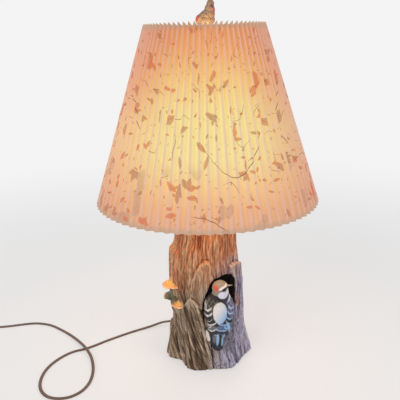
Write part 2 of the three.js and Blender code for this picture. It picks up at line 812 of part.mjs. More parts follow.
function buildLampholder() {
  const group = new THREE.Group();
  const shellTop = shellLow + shellLength;
  const shell = solidOf(tube(shellRadius, shellRadius - shellWall, shellLow, shellTop));
  const liner = solidOf(tube(linerOuter, linerInner, shellLow + seat, shellTop - cutOver));
  const hole = shaftHole(holderBodyRadius, shellRadius + cutOver);
  group.add(piece("socket_cap", socketCap(), "brass"));
  group.add(piece("socket_shell", geometryOf(shell.subtract(hole)), "brass"));
  group.add(piece("socket_liner", geometryOf(liner.subtract(hole)), "card"));
  group.add(piece("switch_body", geometryOf(holderBody()), "bakelite"));
  group.add(piece("screw_shell", screwShell(), "brass"));
  const contact = disc(contactRadius, contactLow, contactLow + contactThickness, 16);
  group.add(piece("centre_contact", contact, "brass"));
  group.add(piece("terminal_screw_hot", terminalScrew(1), "brass"));
  group.add(piece("terminal_screw_neutral", terminalScrew(-1), "steel"));
  group.add(piece("switch_knob", geometryOf(switchKnob()), "bakelite"));
  group.add(piece("switch_shaft", switchShaft(), "bakelite"));
  return group;
}

// Bulb

// Outline of the bulb above its neck, as shares of its radius and of the rise to its widest height
const flareShares = [[0.55, 0.28], [0.72, 0.5], [0.88, 0.72]];
const globeLow = bulbLow + bulbCapLength * 0.75;

function bulbGlobe() {
  const neck = bulbCapRadius - slide * 2 - seat;
  const top = bulbLow + bulbLength;
  const middle = top - bulbRadius;
  const neckTop = bulbLow + bulbCapLength * 1.12;
  const flare = flareShares.map(([out, up]) => [bulbRadius * out, neckTop + (middle - neckTop) * up]);
  const outer = [[neck, globeLow], [neck, neckTop], ...flare];
  const domeSteps = 6;
  for (let i = 0; i < domeSteps; i += 1) {
    const angle = degrees((90 * i) / domeSteps);
    outer.push([bulbRadius * Math.cos(angle), middle + bulbRadius * Math.sin(angle)]);
  }
  const inner = outer.map(([radius, height]) => [radius - bulbWall, height]).reverse();
  return turned([[0, top - bulbWall], ...inner, ...outer, [0, top]]);
}

function bulbCap() {
  const low = bulbLow + bulbCapLength * 0.18;
  const top = bulbLow + bulbCapLength;
  const threads = 6;
  const foot = bulbCapRadius * 0.72;
  const mouth = bulbCapRadius * 0.6;
  const profile = [[foot, low]];
  for (let i = 0; i <= threads; i += 1) {
    const crest = i % 2 ? slide : 0;
    profile.push([bulbCapRadius - crest, low + ((top - low) * (i + 0.6)) / (threads + 0.6)]);
  }
  const bore = bulbCapRadius - slide * 2;
  const inside = [[bore, top], [bore, low + capWall], [mouth, low + capWall], [mouth, low], [foot, low]];
  return turned([...profile, ...inside]);
}

function buildBulb() {
  const group = new THREE.Group();
  const capUnder = bulbLow + bulbCapLength * 0.18;
  const tip = bulbLow + contactThickness;
  const insulator = [
    [0, tip + seat], [bulbCapRadius * 0.3, tip + seat], [bulbCapRadius * 0.58, capUnder - seat],
    [0, capUnder - seat],
  ];
  const stemTop = bulbLow + bulbLength - bulbRadius * 1.4;
  const stemLow = globeLow + seat;
  const neck = bulbCapRadius - slide * 2 - seat - bulbWall - seat;
  const stem = [
    [0, stemLow], [neck, stemLow], [neck, stemLow + capWall * 2],
    [neck * 0.35, stemLow + bulbCapLength * 0.4], [neck * 0.2, stemTop], [0, stemTop],
  ];
  group.add(piece("bulb_globe", bulbGlobe(), "glass"));
  group.add(piece("bulb_cap", bulbCap(), "brass"));
  group.add(piece("bulb_insulator", turned(insulator, 16), "bakelite"));
  group.add(piece("bulb_contact", disc(bulbCapRadius * 0.25, bulbLow, tip, 12), "steel"));
  group.add(piece("bulb_stem", turned(stem, 16), "glass"));
  const half = bulbRadius * 0.5;
  const dip = stemTop + seat + wireRadius;
  const rise = stemTop + half * 0.5;
  const arc = [[-half, 0, rise], [-half * 0.5, 0, dip], [0, 0, dip], [half * 0.5, 0, dip], [half, 0, rise]];
  group.add(piece("bulb_filament", swept(arc, wireRadius * 0.5, wireRadius * 0.5, 12, 6), "copper"));
  return group;
}

// Shade: its top stands a set height above the spider's hub

const shadeBottom = hubLow + shadeAboveHub - shadeHeight;

function shadeShare(height) {
  return (height - shadeBottom) / shadeHeight;
}

function shadeRadiusAt(height) {
  return THREE.MathUtils.lerp(shadeBottomRadius, shadeTopRadius, shadeShare(height));
}

function pleatDepthAt(height) {
  return THREE.MathUtils.lerp(pleatDepthBottom, pleatDepthTop, shadeShare(height));
}

// Innermost radius of the folds, where the ring wires lie
function foldInside(height) {
  return shadeRadiusAt(height) - pleatDepthAt(height) - pleatWall;
}

function pleatRing(height, tooth, inward) {
  const ring = [];
  const count = pleatCount * 2;
  for (let i = 0; i < count; i += 1) {
    const outerFold = i % 2 === 0;
    const radius = shadeRadiusAt(height) - (outerFold ? 0 : pleatDepthAt(height)) - inward;
    const angle = (i / count) * degrees(360);
    const up = height + (outerFold ? tooth : 0);
    ring.push(new THREE.Vector3(radius * Math.cos(angle), radius * Math.sin(angle), up));
  }
  return ring;
}

function shadePleats() {
  const top = shadeBottom + shadeHeight - pleatTooth;
  return loopedSkin([
    pleatRing(shadeBottom, 0, 0),
    pleatRing(top, pleatTooth, 0),
    pleatRing(top, pleatTooth, pleatWall),
    pleatRing(shadeBottom, 0, pleatWall),
  ]);
}

function ringWireAt(height, sides) {
  const radius = foldInside(height + ringWire) - seat - ringWire;
  return new THREE.TorusGeometry(radius, ringWire, 6, sides).translate(0, 0, height);
}

const topRingHeight = shadeBottom + shadeHeight - topRingDrop;
const hubTop = hubLow + spiderHubThickness;

function shadeSpider() {
  const ringInside = foldInside(topRingHeight + ringWire) - seat - ringWire * 2;
  const hub = solidOf(tube(spiderHubRadius, studRadius + slide, hubLow, hubTop));
  const rest = hubTop - spiderWire;
  const rise = topRingHeight - rest;
  const arms = [];
  for (let i = 0; i < spiderArms; i += 1) {
    const run = [
      [spiderHubRadius - spiderWire * 2, 0, rest],
      [ringInside * 0.4, 0, rest],
      [ringInside - rise * 1.3, 0, rest],
      [ringInside - rise * 0.6, 0, rest + rise * 0.55],
      [ringInside - rise * 0.25, 0, topRingHeight - spiderWire * 0.2],
      [ringInside - seat, 0, topRingHeight],
    ];
    const arm = swept(run, spiderWire, spiderWire, 12, 6);
    arms.push(solidOf(arm.rotateZ(degrees(90 + (360 * i) / spiderArms))));
  }
  const bore = solidOf(disc(studRadius + slide, hubLow - cutOver, hubTop + cutOver));
  return arms.reduce((spider, arm) => spider.add(arm), hub).subtract(bore);
}

function buildShade() {
  const group = new THREE.Group();
  group.add(piece("shade_pleats", shadePleats(), "fabric"));
  group.add(piece("shade_top_ring", ringWireAt(topRingHeight, 40), "brass"));
  group.add(piece("shade_bottom_ring", ringWireAt(shadeBottom + bottomRingLift, 48), "brass"));
  group.add(piece("shade_spider", geometryOf(shadeSpider()), "brass"));
  return group;
}

// Finial: a small bird that looks up, on a threaded insert

const finialLow = hubTop + seat;

// Body sections as [height share, side, half width, half depth], the last three as shares of the base radius
const finialShares = [
  [0, -0.18, 0.75, 0.75], [0.08, -0.18, 0.95, 0.9], [0.16, -0.15, 0.9, 0.8], [0.22, 0, 1.25, 0.85],
  [0.34, 0.02, 1.6, 1.05], [0.45, 0.15, 1.2, 1.0], [0.54, 0.42, 1.05, 0.9], [0.63, 0.65, 0.82, 0.75],
  [0.72, 0.74, 0.62, 0.62], [0.8, 0.72, 0.4, 0.42], [0.88, 0.68, 0.22, 0.22], [1, 0.66, 0.06, 0.06],
];

function finialFigure() {
  const rings = finialShares.map(([height, side, wide, deep]) => {
    const ring = [];
    for (let j = 0; j < 16; j += 1) {
      const angle = (j / 16) * degrees(360);
      const x = finialSide + finialBaseRadius * (side + wide * Math.cos(angle));
      const y = finialBaseRadius * deep * Math.sin(angle);
      ring.push(new THREE.Vector3(x, y, finialLow + finialHeight * height));
    }
    return ring;
  });
  const socketTop = finialLow + insertLength + seat * 2 + cutOver;
  const socket = solidOf(disc(insertRadius + seat, finialLow - cutOver, socketTop, 16));
  return solidOf(lofted(rings)).subtract(socket);
}

function buildFinial() {
  const group = new THREE.Group();
  const insert = tube(insertRadius, studRadius + slide, finialLow, finialLow + insertLength, 16);
  group.add(piece("finial_figure", geometryOf(finialFigure()), "resin"));
  group.add(piece("finial_insert", insert, "brass"));
  return group;
}

// Cord: the run inside the casting, the bushing, the lead on the table, the coil and the plug

function atExit(radius) {
  const angle = degrees(cordAngle);
  return [radius * Math.cos(angle), radius * Math.sin(angle), exitHeight];
}

const noseEnd = exitSeat + bushingLength;

function cordBushing() {
  const bore = cordWidth / 2 + slide;
  const face = exitSeat + seat;
  const inside = exitSeat - trunkWall;
  const flange = face + bushingFlange;
  const profile = [
    [bushingStemRadius, inside], [bushingStemRadius, face], [bushingFlangeRadius, face],
    [bushingFlangeRadius, flange], [bushingStemRadius, flange + seat], [bushingNoseRadius, noseEnd],
    [bore, noseEnd], [bore, inside], [bushingStemRadius, inside],
  ];
  return alongExit(turned(profile, 16));
}

const cordTop = nippleTop + wireRadius * 1.5;

function innerCord() {
  const low = trunkTop - nippleBelow;
  const up = [low, (low + trunkTop) / 2, trunkTop, cordTop].map((height) => [0, 0, height]);
  const run = innerShares.map(([side, depth, height]) => [
    footRadius * side,
    footRadius * depth,
    trunkBottom + trunkHeight * height,
  ]);
  const points = [atExit(noseEnd - seat), atExit(exitSeat), atExit(exitSeat - trunkWall), ...run, ...up];
  return swept(points, cordThickness / 2, cordWidth / 2, 30);
}

// One wire from the end of the cord to the underside of its terminal screw
function wireTail(hand) {
  const side = wireRadius + seat;
  const out = holderNeckRadius + seat + wireRadius + seat;
  const low = cordTop + seat;
  const top = neckLow + holderNeckHeight / 2 - terminalRadius - seat;
  const bend = (top - low) * 0.45;
  const run = [
    [side, low], [side * 1.6, low + bend * 0.6], [out * 0.68, low + bend], [out, top - bend * 0.7],
    [out, top],
  ];
  return swept(run.map(([x, z]) => [x * hand, 0, z]), wireRadius, wireRadius, 10, 6);
}

function cordLead() {
  const start = [atExit(noseEnd), atExit(noseEnd + cordWidth * 1.5)];
  const [routeX, routeY] = cordRoute[cordRoute.length - 1];
  const lastX = coilCentreX + cordWidth + seat;
  const lastY = coilCentreY + coilPoint(0).y;
  const bridge = [(routeX + lastX) / 2, (routeY + lastY) / 2, floorHeight];
  const end = [[lastX + cordWidth, lastY, floorHeight], [lastX, lastY, floorHeight]];
  return swept([...start, ...cordRoute, bridge, ...end], cordThickness / 2, cordWidth / 2, 74);
}

const floorHeight = cordThickness / 2 + floorLift;

// Middle line of the coil: in on the floor layer, out on the upper one, climbing where it turns back
function coilPoint(loops) {
  const back = coilLoops / 2;
  const radius = coilInner + coilPitch * Math.abs(loops - back);
  const angle = degrees(90 + 360 * loops);
  const height = floorHeight + coilLayer * smoothShare(loops, back - 0.25, back + 0.25);
  return new THREE.Vector3(radius * Math.cos(angle), radius * Math.sin(angle), height);
}

const coilOuter = coilInner + (coilPitch * coilLoops) / 2;
const coilCentreY = cordRoute[cordRoute.length - 1][1] - coilOuter - 1.5 * coilInner * 0.05;

// Flat six-sided section across the cord's direction
function cordSection(centre, along) {
  const side = new THREE.Vector3(-along.y, along.x, 0).normalize();
  const ring = [];
  for (let j = 0; j < 6; j += 1) {
    const angle = degrees(60 * j);
    const point = centre.clone().addScaledVector(side, (cordWidth / 2) * Math.cos(angle));
    point.z += (cordThickness / 2) * Math.sin(angle);
    ring.push(point);
  }
  return ring;
}

function coilRings() {
  const steps = Math.round(coilLoops * coilStepsPerLoop);
  const centres = [];
  for (let i = 0; i <= steps; i += 1) centres.push(coilPoint((coilLoops * i) / steps));
  const first = centres[0].clone().add(new THREE.Vector3(cordWidth, 0, 0));
  const last = centres[steps].clone().add(new THREE.Vector3(0, -coilTail, 0));
  const line = [first, ...centres, last];
  return line.map((centre, i) => {
    const along = new THREE.Vector3();
    if (i < 2) along.set(-1, 0, 0);
    else if (i > line.length - 3) along.set(0, -1, 0);
    else along.subVectors(line[i + 1], line[i - 1]);
    return cordSection(centre, along);
  });
}

// Least gap between turns, on the corners and the middles of the edges of each section
function leastCoilGap(rings) {
  const half = (ring, j) => ring[j].clone().lerp(ring[(j + 1) % ring.length], 0.5);
  const samples = rings.map((ring) => ring.flatMap((p, j) => [p, half(ring, j)]));
  let least = Infinity;
  samples.forEach((ring, i) => {
    for (let k = i + coilStepsPerLoop / 2; k < samples.length; k += 1) {
      ring.forEach((p) => {
        samples[k].forEach((q) => {
          least = Math.min(least, p.distanceTo(q));
        });
      });
    }
  });
  return least;
}

function plugBody(end) {
  const back = end.y - coilTail - seat;
  const collar = plugLength * 0.25;
  const half = (share) => [(plugWidth / 2) * share, (plugThickness / 2) * share];
  const ringAt = (y, [x, z]) => {
    const corner = Math.min(x, z) * 0.45;
    const right = [[x, -z + corner], [x, z - corner], [x - corner, z]];
    const left = [[-x + corner, z], [-x, z - corner], [-x, -z + corner]];
    const outline = [...right, ...left, [-x + corner, -z], [x - corner, -z]];
    return outline.map(([px, pz]) => new THREE.Vector3(end.x + px, y, plugThickness / 2 + pz));
  };
  const neck = [cordWidth * 0.8, plugThickness * 0.32];
  return lofted([
    ringAt(back, neck),
    ringAt(back - collar, half(0.85)),
    ringAt(back - plugLength * 0.55, half(1)),
    ringAt(back - plugLength, half(1)),
  ]);
}

function plugBlade(end, hand) {
  const front = end.y - coilTail - seat - plugLength;
  const blade = new THREE.BoxGeometry(bladeThickness, bladeLength, bladeWidth);
  const y = front - seat - bladeLength / 2;
  return blade.translate(end.x + (hand * bladeSpacing) / 2, y, plugThickness / 2);
}

function buildCord() {
  const group = new THREE.Group();
  group.add(piece("cord_bushing", cordBushing(), "bakelite"));
  group.add(piece("inner_cord", innerCord(), "cord"));
  group.add(piece("wire_hot", wireTail(1), "cord"));
  group.add(piece("wire_neutral", wireTail(-1), "cord"));
  group.add(piece("cord_lead", cordLead(), "cord"));
  const rings = coilRings();
  console.log("least gap of the coil to itself: " + leastCoilGap(rings).toFixed(2) + " mm");
  group.add(piece("cord_coil", lofted(rings).translate(coilCentreX, coilCentreY, 0), "cord"));
  const end = coilPoint(coilLoops).add(new THREE.Vector3(coilCentreX, coilCentreY, 0));
  group.add(piece("plug_body", plugBody(end), "bakelite"));
  group.add(piece("plug_blade_1", plugBlade(end, -1), "brass"));
  group.add(piece("plug_blade_2", plugBlade(end, 1), "brass"));
  return group;
}

const lamp = new THREE.Group();
lamp.name = "table_lamp";
lamp.add(buildBase(), buildNippleStack(), buildHarp(), buildLampholder(), buildBulb());
lamp.add(buildShade(), buildFinial(), buildCord());

export default lamp;
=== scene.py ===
# %% [markdown]
# This lesson dresses a table lamp: a cast tree trunk with a woodpecker at a hollow, a pleated
# shade with pressed leaves in it, and a small bird as the finial. The hard parts come from the
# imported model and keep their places. Each step below makes one visible piece or one finish.

# %% Load the fixed frame
import math

import bpy
import numpy as np
from mathutils import Matrix, Vector, noise


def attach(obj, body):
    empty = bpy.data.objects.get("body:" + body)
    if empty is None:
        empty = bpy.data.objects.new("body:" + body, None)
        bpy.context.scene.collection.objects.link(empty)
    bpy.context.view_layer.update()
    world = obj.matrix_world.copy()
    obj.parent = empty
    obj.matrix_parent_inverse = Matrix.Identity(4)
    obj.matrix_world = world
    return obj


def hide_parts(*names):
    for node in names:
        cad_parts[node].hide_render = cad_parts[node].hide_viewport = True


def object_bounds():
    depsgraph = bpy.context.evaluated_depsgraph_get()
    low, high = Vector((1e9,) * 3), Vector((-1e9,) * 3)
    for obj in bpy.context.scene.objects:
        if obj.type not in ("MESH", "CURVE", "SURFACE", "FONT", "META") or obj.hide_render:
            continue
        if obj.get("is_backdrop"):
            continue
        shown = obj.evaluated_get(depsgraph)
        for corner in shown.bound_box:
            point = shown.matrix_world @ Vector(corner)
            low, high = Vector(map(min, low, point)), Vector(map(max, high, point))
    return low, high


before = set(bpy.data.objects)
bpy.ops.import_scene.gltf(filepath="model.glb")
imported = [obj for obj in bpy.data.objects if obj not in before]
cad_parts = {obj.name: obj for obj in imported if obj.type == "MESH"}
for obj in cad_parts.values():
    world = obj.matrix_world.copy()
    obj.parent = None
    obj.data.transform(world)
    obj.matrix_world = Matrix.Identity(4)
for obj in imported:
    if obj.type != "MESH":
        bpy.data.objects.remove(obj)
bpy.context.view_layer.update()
MM = 0.001

# %% [markdown]
# The camera stands where the photographer stood: a little lower than the top of the shade, looking
# down by 17 degrees, with a slight roll. Its place, both angles and the lens were fitted to the
# rims of the shade and the foot in the photo. Its three axes are worked out from the angles.

# %% Camera
CAMERA_PLACE = Vector((-12.0, -796.9, 520.3)) * MM
CAMERA_PITCH = 0.296
CAMERA_ROLL = 0.021
CAMERA_LENS = 45.28

forward = Vector((0, math.cos(CAMERA_PITCH), -math.sin(CAMERA_PITCH)))
upward = Vector((0, math.sin(CAMERA_PITCH), math.cos(CAMERA_PITCH)))
right = Vector((1, 0, 0))
camera_x = right * math.cos(CAMERA_ROLL) - upward * math.sin(CAMERA_ROLL)
camera_y = right * math.sin(CAMERA_ROLL) + upward * math.cos(CAMERA_ROLL)
turn = Matrix((camera_x, camera_y, -forward)).transposed()
camera_data = bpy.data.cameras.new("camera")
camera_data.lens = CAMERA_LENS
camera_data.sensor_width = 36
camera = bpy.data.objects.new("camera", camera_data)
camera.matrix_world = Matrix.Translation(CAMERA_PLACE) @ turn.to_4x4()
bpy.context.scene.collection.objects.link(camera)
bpy.context.scene.camera = camera
bpy.context.scene.view_settings.view_transform = "Standard"
print("camera at", tuple(round(v, 3) for v in camera.location))

# %% [markdown]
# A finish is a material made of nodes. One small class wraps an output of a node, so that
# sums and products of it add the Math nodes by themselves. Another class holds the material:
# it has one method that makes any node, and short ones for the nodes and patterns used most.
# Written this way a finish reads as a recipe, and the node tree that it makes can still be opened
# and changed in the shader editor.


# %% Colours, values and finishes
def colour(red, green, blue):
    """A colour as painted, from screen values of 0 to 255 to the linear ones that nodes take."""
    shares = [v / 255 for v in (red, green, blue)]
    return tuple(s / 12.92 if s <= 0.04045 else ((s + 0.055) / 1.055) ** 2.4 for s in shares)


class Value:
    """A number, colour or vector that varies over a surface."""

    def __init__(self, finish, socket):
        self.finish = finish
        self.socket = socket

    def math(self, operation, *others):
        return self.finish.node("ShaderNodeMath", {"operation": operation}, [self, *others])

    def most(self, other):
        return self.math("MAXIMUM", other)

    def __add__(self, other):
        return self.math("ADD", other)

    def __sub__(self, other):
        return self.math("SUBTRACT", other)

    def __rsub__(self, other):
        return self.finish.node("ShaderNodeMath", {"operation": "SUBTRACT"}, [other, self])

    def __mul__(self, other):
        return self.math("MULTIPLY", other)

    def __truediv__(self, other):
        return self.math("DIVIDE", other)

    def __abs__(self):
        return self.math("ABSOLUTE")

    __radd__ = __add__
    __rmul__ = __mul__


class Finish:
    """A material with one Principled shader and the nodes that feed it."""

    def __init__(self, name, **constants):
        self.material = bpy.data.materials.new(name)
        self.material.use_nodes = True
        self.tree = self.material.node_tree
        self.shader = self.tree.nodes["Principled BSDF"]
        for key, value in constants.items():
            self.shader.inputs[key.replace("_", " ")].default_value = value

    def node(self, kind, settings=None, inputs=(), output=0):
        """Any node: its settings first, then the values or links of its sockets."""
        made = self.tree.nodes.new(kind)
        for key, value in (settings or {}).items():
            if key == "stops":
                ramp = made.color_ramp.elements
                while len(ramp) < len(value):
                    ramp.new(1)
                for element, (place, tone) in zip(ramp, value):
                    element.position = place
                    element.color = (*tone, 1)
            else:
                setattr(made, key, value)
        pairs = inputs.items() if isinstance(inputs, dict) else enumerate(inputs)
        for key, value in pairs:
            if isinstance(value, Value):
                self.tree.links.new(value.socket, made.inputs[key])
            else:
                made.inputs[key].default_value = value
        return Value(self, made.outputs[output])

    def feed(self, name, value):
        self.tree.links.new(value.socket, self.shader.inputs[name])

    def place(self):
        return self.node("ShaderNodeTexCoord", output="Object")

    def parts(self, vector):
        made = self.node("ShaderNodeSeparateXYZ", inputs=[vector])
        outputs = made.socket.node.outputs
        return [Value(self, outputs[i]) for i in range(3)]

    def attribute(self, name, output="Fac"):
        return self.node("ShaderNodeAttribute", {"attribute_name": name}, output=output)

    def noise(self, vector, scale, detail=3.0, roughness=0.55):
        inputs = {"Vector": vector, "Scale": scale, "Detail": detail, "Roughness": roughness}
        return self.node("ShaderNodeTexNoise", inputs=inputs)

    def stretched(self, vector, scale):
        return self.node("ShaderNodeMapping", inputs={"Vector": vector, "Scale": scale})

    def drawn(self, vector, scale, detail=3, roughness=0.6):
        """Noise with its own scale along each axis, so that it runs out into streaks."""
        return self.noise(self.stretched(vector, scale), 1.0, detail, roughness)

    def step(self, value, low, high):
        """Smooth step from 0 at low to 1 at high."""
        settings = {"interpolation_type": "SMOOTHSTEP"}
        inputs = {"Value": value, "From Min": low, "From Max": high}
        return self.node("ShaderNodeMapRange", settings, inputs)

    def band(self, value, near, far, ragged=None):
        """1 between two soft edges and 0 outside them; ragged moves the far one."""
        beyond = value if ragged is None else value + ragged
        return self.step(value, *near) * (1 - self.step(beyond, *far))

    def vein(self, value, level, inner, outer):
        """1 along the line where a value passes a level, and 0 beside it."""
        return 1 - self.step(abs(value - level), inner, outer)

    def ramp(self, value, *stops):
        """A colour ramp, with its colours in screen values."""
        stops = [(place, colour(*tone)) for place, tone in stops]
        return self.node("ShaderNodeValToRGB", {"stops": stops}, [value])

    def mix(self, share, first, second):
        """The second colour laid over the first, by a share."""
        first, second = ((*c, 1) if isinstance(c, tuple) else c for c in (first, second))
        inputs = {0: share, 6: first, 7: second}
        return self.node("ShaderNodeMix", {"data_type": "RGBA"}, inputs, 2)

    def coats(self, base, *layers):
        """Colours laid over a base one after another, each by its share."""
        for share, tone in layers:
            base = self.mix(share, base, tone)
        return base

    def bump(self, height, distance, strength=1.0):
        inputs = {"Height": height, "Distance": distance, "Strength": strength}
        self.feed("Normal", self.node("ShaderNodeBump", inputs=inputs))

    def veil(self, shader, share):
        """Lay a second shader over the first one, by a share."""
        first = Value(self, self.shader.outputs[0])
        mixed = self.node("ShaderNodeMixShader", inputs=[share, first, shader])
        self.tree.links.new(mixed.socket, self.tree.nodes["Material Output"].inputs["Surface"])


print("mid brown is", [round(v, 3) for v in colour(139, 100, 70)])

# %% [markdown]
# Every piece is edited in the same few ways, so these get a short helper each: selecting one
# object only, reading and writing all the points of a mesh at once, storing a number for each
# point, applying a modifier, and merging, smoothing or pushing out a skin.


# %% Helpers for points and edges
def only(piece=None):
    """Deselects all, then selects and activates one piece."""
    if bpy.context.object and bpy.context.object.mode != "OBJECT":
        bpy.ops.object.mode_set(mode="OBJECT")
    bpy.ops.object.select_all(action="DESELECT")
    if piece:
        piece.select_set(True)
        bpy.context.view_layer.objects.active = piece


def points_of(piece):
    """All points of a mesh, a row of three numbers each."""
    flat = np.zeros(len(piece.data.vertices) * 3)
    piece.data.vertices.foreach_get("co", flat)
    return flat.reshape(-1, 3)


def move_points(piece, points):
    piece.data.vertices.foreach_set("co", np.asarray(points, np.float32).ravel())
    piece.data.update()


def store(piece, name, values):
    """Keeps one number or one place for each point, for the finish to read."""
    values = np.asarray(values, np.float32)
    kind, key = ("FLOAT", "value") if values.ndim == 1 else ("FLOAT_VECTOR", "vector")
    made = piece.data.attributes.new(name, kind, "POINT")
    made.data.foreach_set(key, values.ravel())


def named(name):
    piece = bpy.context.object
    piece.name = name
    piece.data.name = name
    return piece


def modify(piece, kind, **settings):
    only(piece)
    made = piece.modifiers.new(kind.title(), kind)
    for key, value in settings.items():
        setattr(made, key, value)
    bpy.ops.object.modifier_apply(modifier=made.name)
    return piece


def tidy_mesh(piece, distance=1e-6):
    """Merges doubled points and turns all faces outwards."""
    only(piece)
    bpy.ops.object.mode_set(mode="EDIT")
    bpy.ops.mesh.select_all(action="SELECT")
    bpy.ops.mesh.remove_doubles(threshold=distance)
    bpy.ops.mesh.normals_make_consistent(inside=False)
    bpy.ops.object.mode_set(mode="OBJECT")
    return piece


def smooth(piece, angle=None):
    """Smooth shading, all over or up to an angle between faces."""
    only(piece)
    if angle is None:
        bpy.ops.object.shade_smooth()
    else:
        bpy.ops.object.shade_smooth_by_angle(angle=math.radians(angle))
    return piece


def push_out(piece, raised):
    """Moves each point along its own normal, by millimetres."""
    normals = np.zeros(len(piece.data.vertices) * 3)
    piece.data.vertices.foreach_get("normal", normals)
    move_points(piece, points_of(piece) + normals.reshape(-1, 3) * raised[:, None] * MM)


print("helpers for points and edges ready")


# %% Helpers for sheets, paint and noise
def sheet_of(name, columns, rows, place):
    """A flat grid whose every point, as two shares from 0 to 1, is moved to its place."""
    only()
    bpy.ops.mesh.primitive_grid_add(x_subdivisions=columns, y_subdivisions=rows, size=1)
    piece = named(name)
    shares = points_of(piece)[:, :2] + 0.5
    move_points(piece, place(shares[:, 0], shares[:, 1]))
    return piece


def painted(piece, finish):
    """Gives a piece one finish only."""
    piece.data.materials.clear()
    piece.data.materials.append(finish.material)
    return piece


def ease(values, low, high):
    """Smooth step from 0 at low to 1 at high."""
    share = np.clip((np.asarray(values, float) - low) / (high - low), 0, 1)
    return share * share * (3 - 2 * share)


def grain(points, scale=1.0):
    """Noise from -1 to 1 at each point."""
    return np.array([noise.noise(p) for p in (np.asarray(points) * scale).tolist()])


print("noise at one place", round(float(grain([(0.3, 0.6, 0.9)])[0]), 3))

# %% [markdown]
# The supply cord is a flat twin flex, 5.2 mm wide: two round wires side by side. It leaves the
# back left of the trunk through a bushing, makes one open loop on the table, and the rest is
# wound into a flat coil of two layers, with the plug beside it. Its route is given as points
# with a smooth curve through them, and the twin section is then carried along that curve.

# %% Route of the cord
CORD_WIDTH = 5.2
CORD_THICKNESS = 2.8
CORD_FLOOR = 1.65
EXIT_ANGLE = math.radians(135)
EXIT_HEIGHT = 14
NOSE_RADIUS = 90.9
COIL_MIDDLE = (-467, 38.9)
COIL_LOOPS = 5.25
COIL_INNER = 21.4
COIL_PITCH = 5.9
COIL_LAYER = 3.5
COIL_TAIL = 28
# Side, depth and height of each point of the route, in millimetres
ROUTE = [
    (-77, 73, 9.5), (-92, 74, 6.5), (-115, 64, 3.6), (-141.8, 52.5, 1.7), (-168.1, 36.1, 1.7),
    (-193.3, 18.6, 1.7), (-209.4, 6.1, 1.7), (-225.5, -4.4, 1.7), (-240.4, -10.1, 1.7),
    (-253.6, -19.5, 1.7), (-266.2, -35, 1.7), (-275.6, -53.3, 1.7), (-280.2, -76, 1.7),
    (-277.9, -101.3, 1.7), (-269, -121, 1.7), (-254.5, -134, 1.7), (-235.9, -138, 1.7),
    (-218.3, -133, 1.7), (-204.1, -118.5, 1.7), (-197.2, -96, 1.7), (-198.2, -67.1, 2.6),
    (-206.6, -37.5, 4.6), (-218.5, -14.5, 5.4), (-235, 9.5, 4.6), (-260, 39, 2.6),
    (-286.5, 63, 1.7), (-310, 79.5, 1.7), (-334.2, 87.5, 1.7), (-353.9, 87.6, 1.7),
    (-372.5, 84, 1.7), (-390.9, 80, 1.7), (-409.8, 77.4, 1.7),
]


def at_exit(radius):
    return (radius * math.cos(EXIT_ANGLE), radius * math.sin(EXIT_ANGLE), EXIT_HEIGHT)


def coil_point(loops):
    """Middle of the cord in the coil: inwards on the table, then outwards on the layer above."""
    back = COIL_LOOPS / 2
    radius = COIL_INNER + COIL_PITCH * abs(loops - back)
    angle = math.radians(90 + 360 * loops)
    height = CORD_FLOOR + COIL_LAYER * float(ease(loops, back - 0.25, back + 0.25))
    x, y = COIL_MIDDLE
    return (x + radius * math.cos(angle), y + radius * math.sin(angle), height)


def curve_through(points, steps):
    """A smooth curve through points, with equal steps between each pair of them."""
    p = np.array([points[0], *points, points[-1]], float)
    t = np.linspace(0, 1, steps, endpoint=False)[:, None]
    runs = []
    for i in range(1, len(p) - 2):
        a, b, c, d = p[i - 1], p[i], p[i + 1], p[i + 2]
        bend = 2 * a - 5 * b + 4 * c - d
        runs.append(b + 0.5 * t * ((c - a) + t * (bend + t * (3 * b - a - 3 * c + d))))
    return np.vstack([*runs, p[-1:]])


coil_steps = round(COIL_LOOPS * 40)
coil = [coil_point(COIL_LOOPS * i / coil_steps) for i in range(coil_steps + 1)]
bridge_x = COIL_MIDDLE[0] + CORD_WIDTH + 0.3
bridge = [
    ((ROUTE[-1][0] + bridge_x) / 2, (ROUTE[-1][1] + coil[0][1]) / 2, CORD_FLOOR),
    (bridge_x + CORD_WIDTH, coil[0][1], CORD_FLOOR),
]
plug_side = coil[-1][0]
tail_end = coil[-1][1] - COIL_TAIL
tail = [(plug_side, coil[-1][1] - COIL_TAIL / 2, coil[-1][2]), (plug_side, tail_end, coil[-1][2])]
lead = curve_through([at_exit(NOSE_RADIUS), at_exit(NOSE_RADIUS + 7.8), *ROUTE, *bridge], 4)
wound = np.array([*coil, *tail])
cord_line = np.vstack([lead, wound]) * MM
cord_length = float(np.linalg.norm(np.diff(cord_line, axis=0), axis=1).sum())
print("cord length", round(cord_length, 4), "m in", len(cord_line), "points")

# %% [markdown]
# The section is two circles that touch, drawn as one closed outline of sixteen points. At each
# point of the line it stands across the direction of the cord and stays level, as a flat flex
# lies on a table. A curve object with a bevel would do for a round cord, but it can't hold a flat
# section level, so the tube is laid ring by ring. The wires and the harp use the same helper.

# %% Cord
CORD_SIDES = 16
WAIST_FULL = 0.62
WAIST_SHARP = 2.2


def twin_outline(width, thickness):
    """Outline of a flat twin flex, as side and height in metres."""
    radius = thickness / 2
    offset = width / 2 - radius
    outline = []
    for i in range(CORD_SIDES):
        angle = 2 * math.pi * (i + 0.5) / CORD_SIDES
        c, s = math.cos(angle), math.sin(angle)
        out = min(1, abs(c) * WAIST_SHARP)
        waist = radius * (WAIST_FULL + (1 - WAIST_FULL) * out)
        outline.append(((math.copysign(offset, c) * out + radius * c) * MM, waist * s * MM))
    return outline


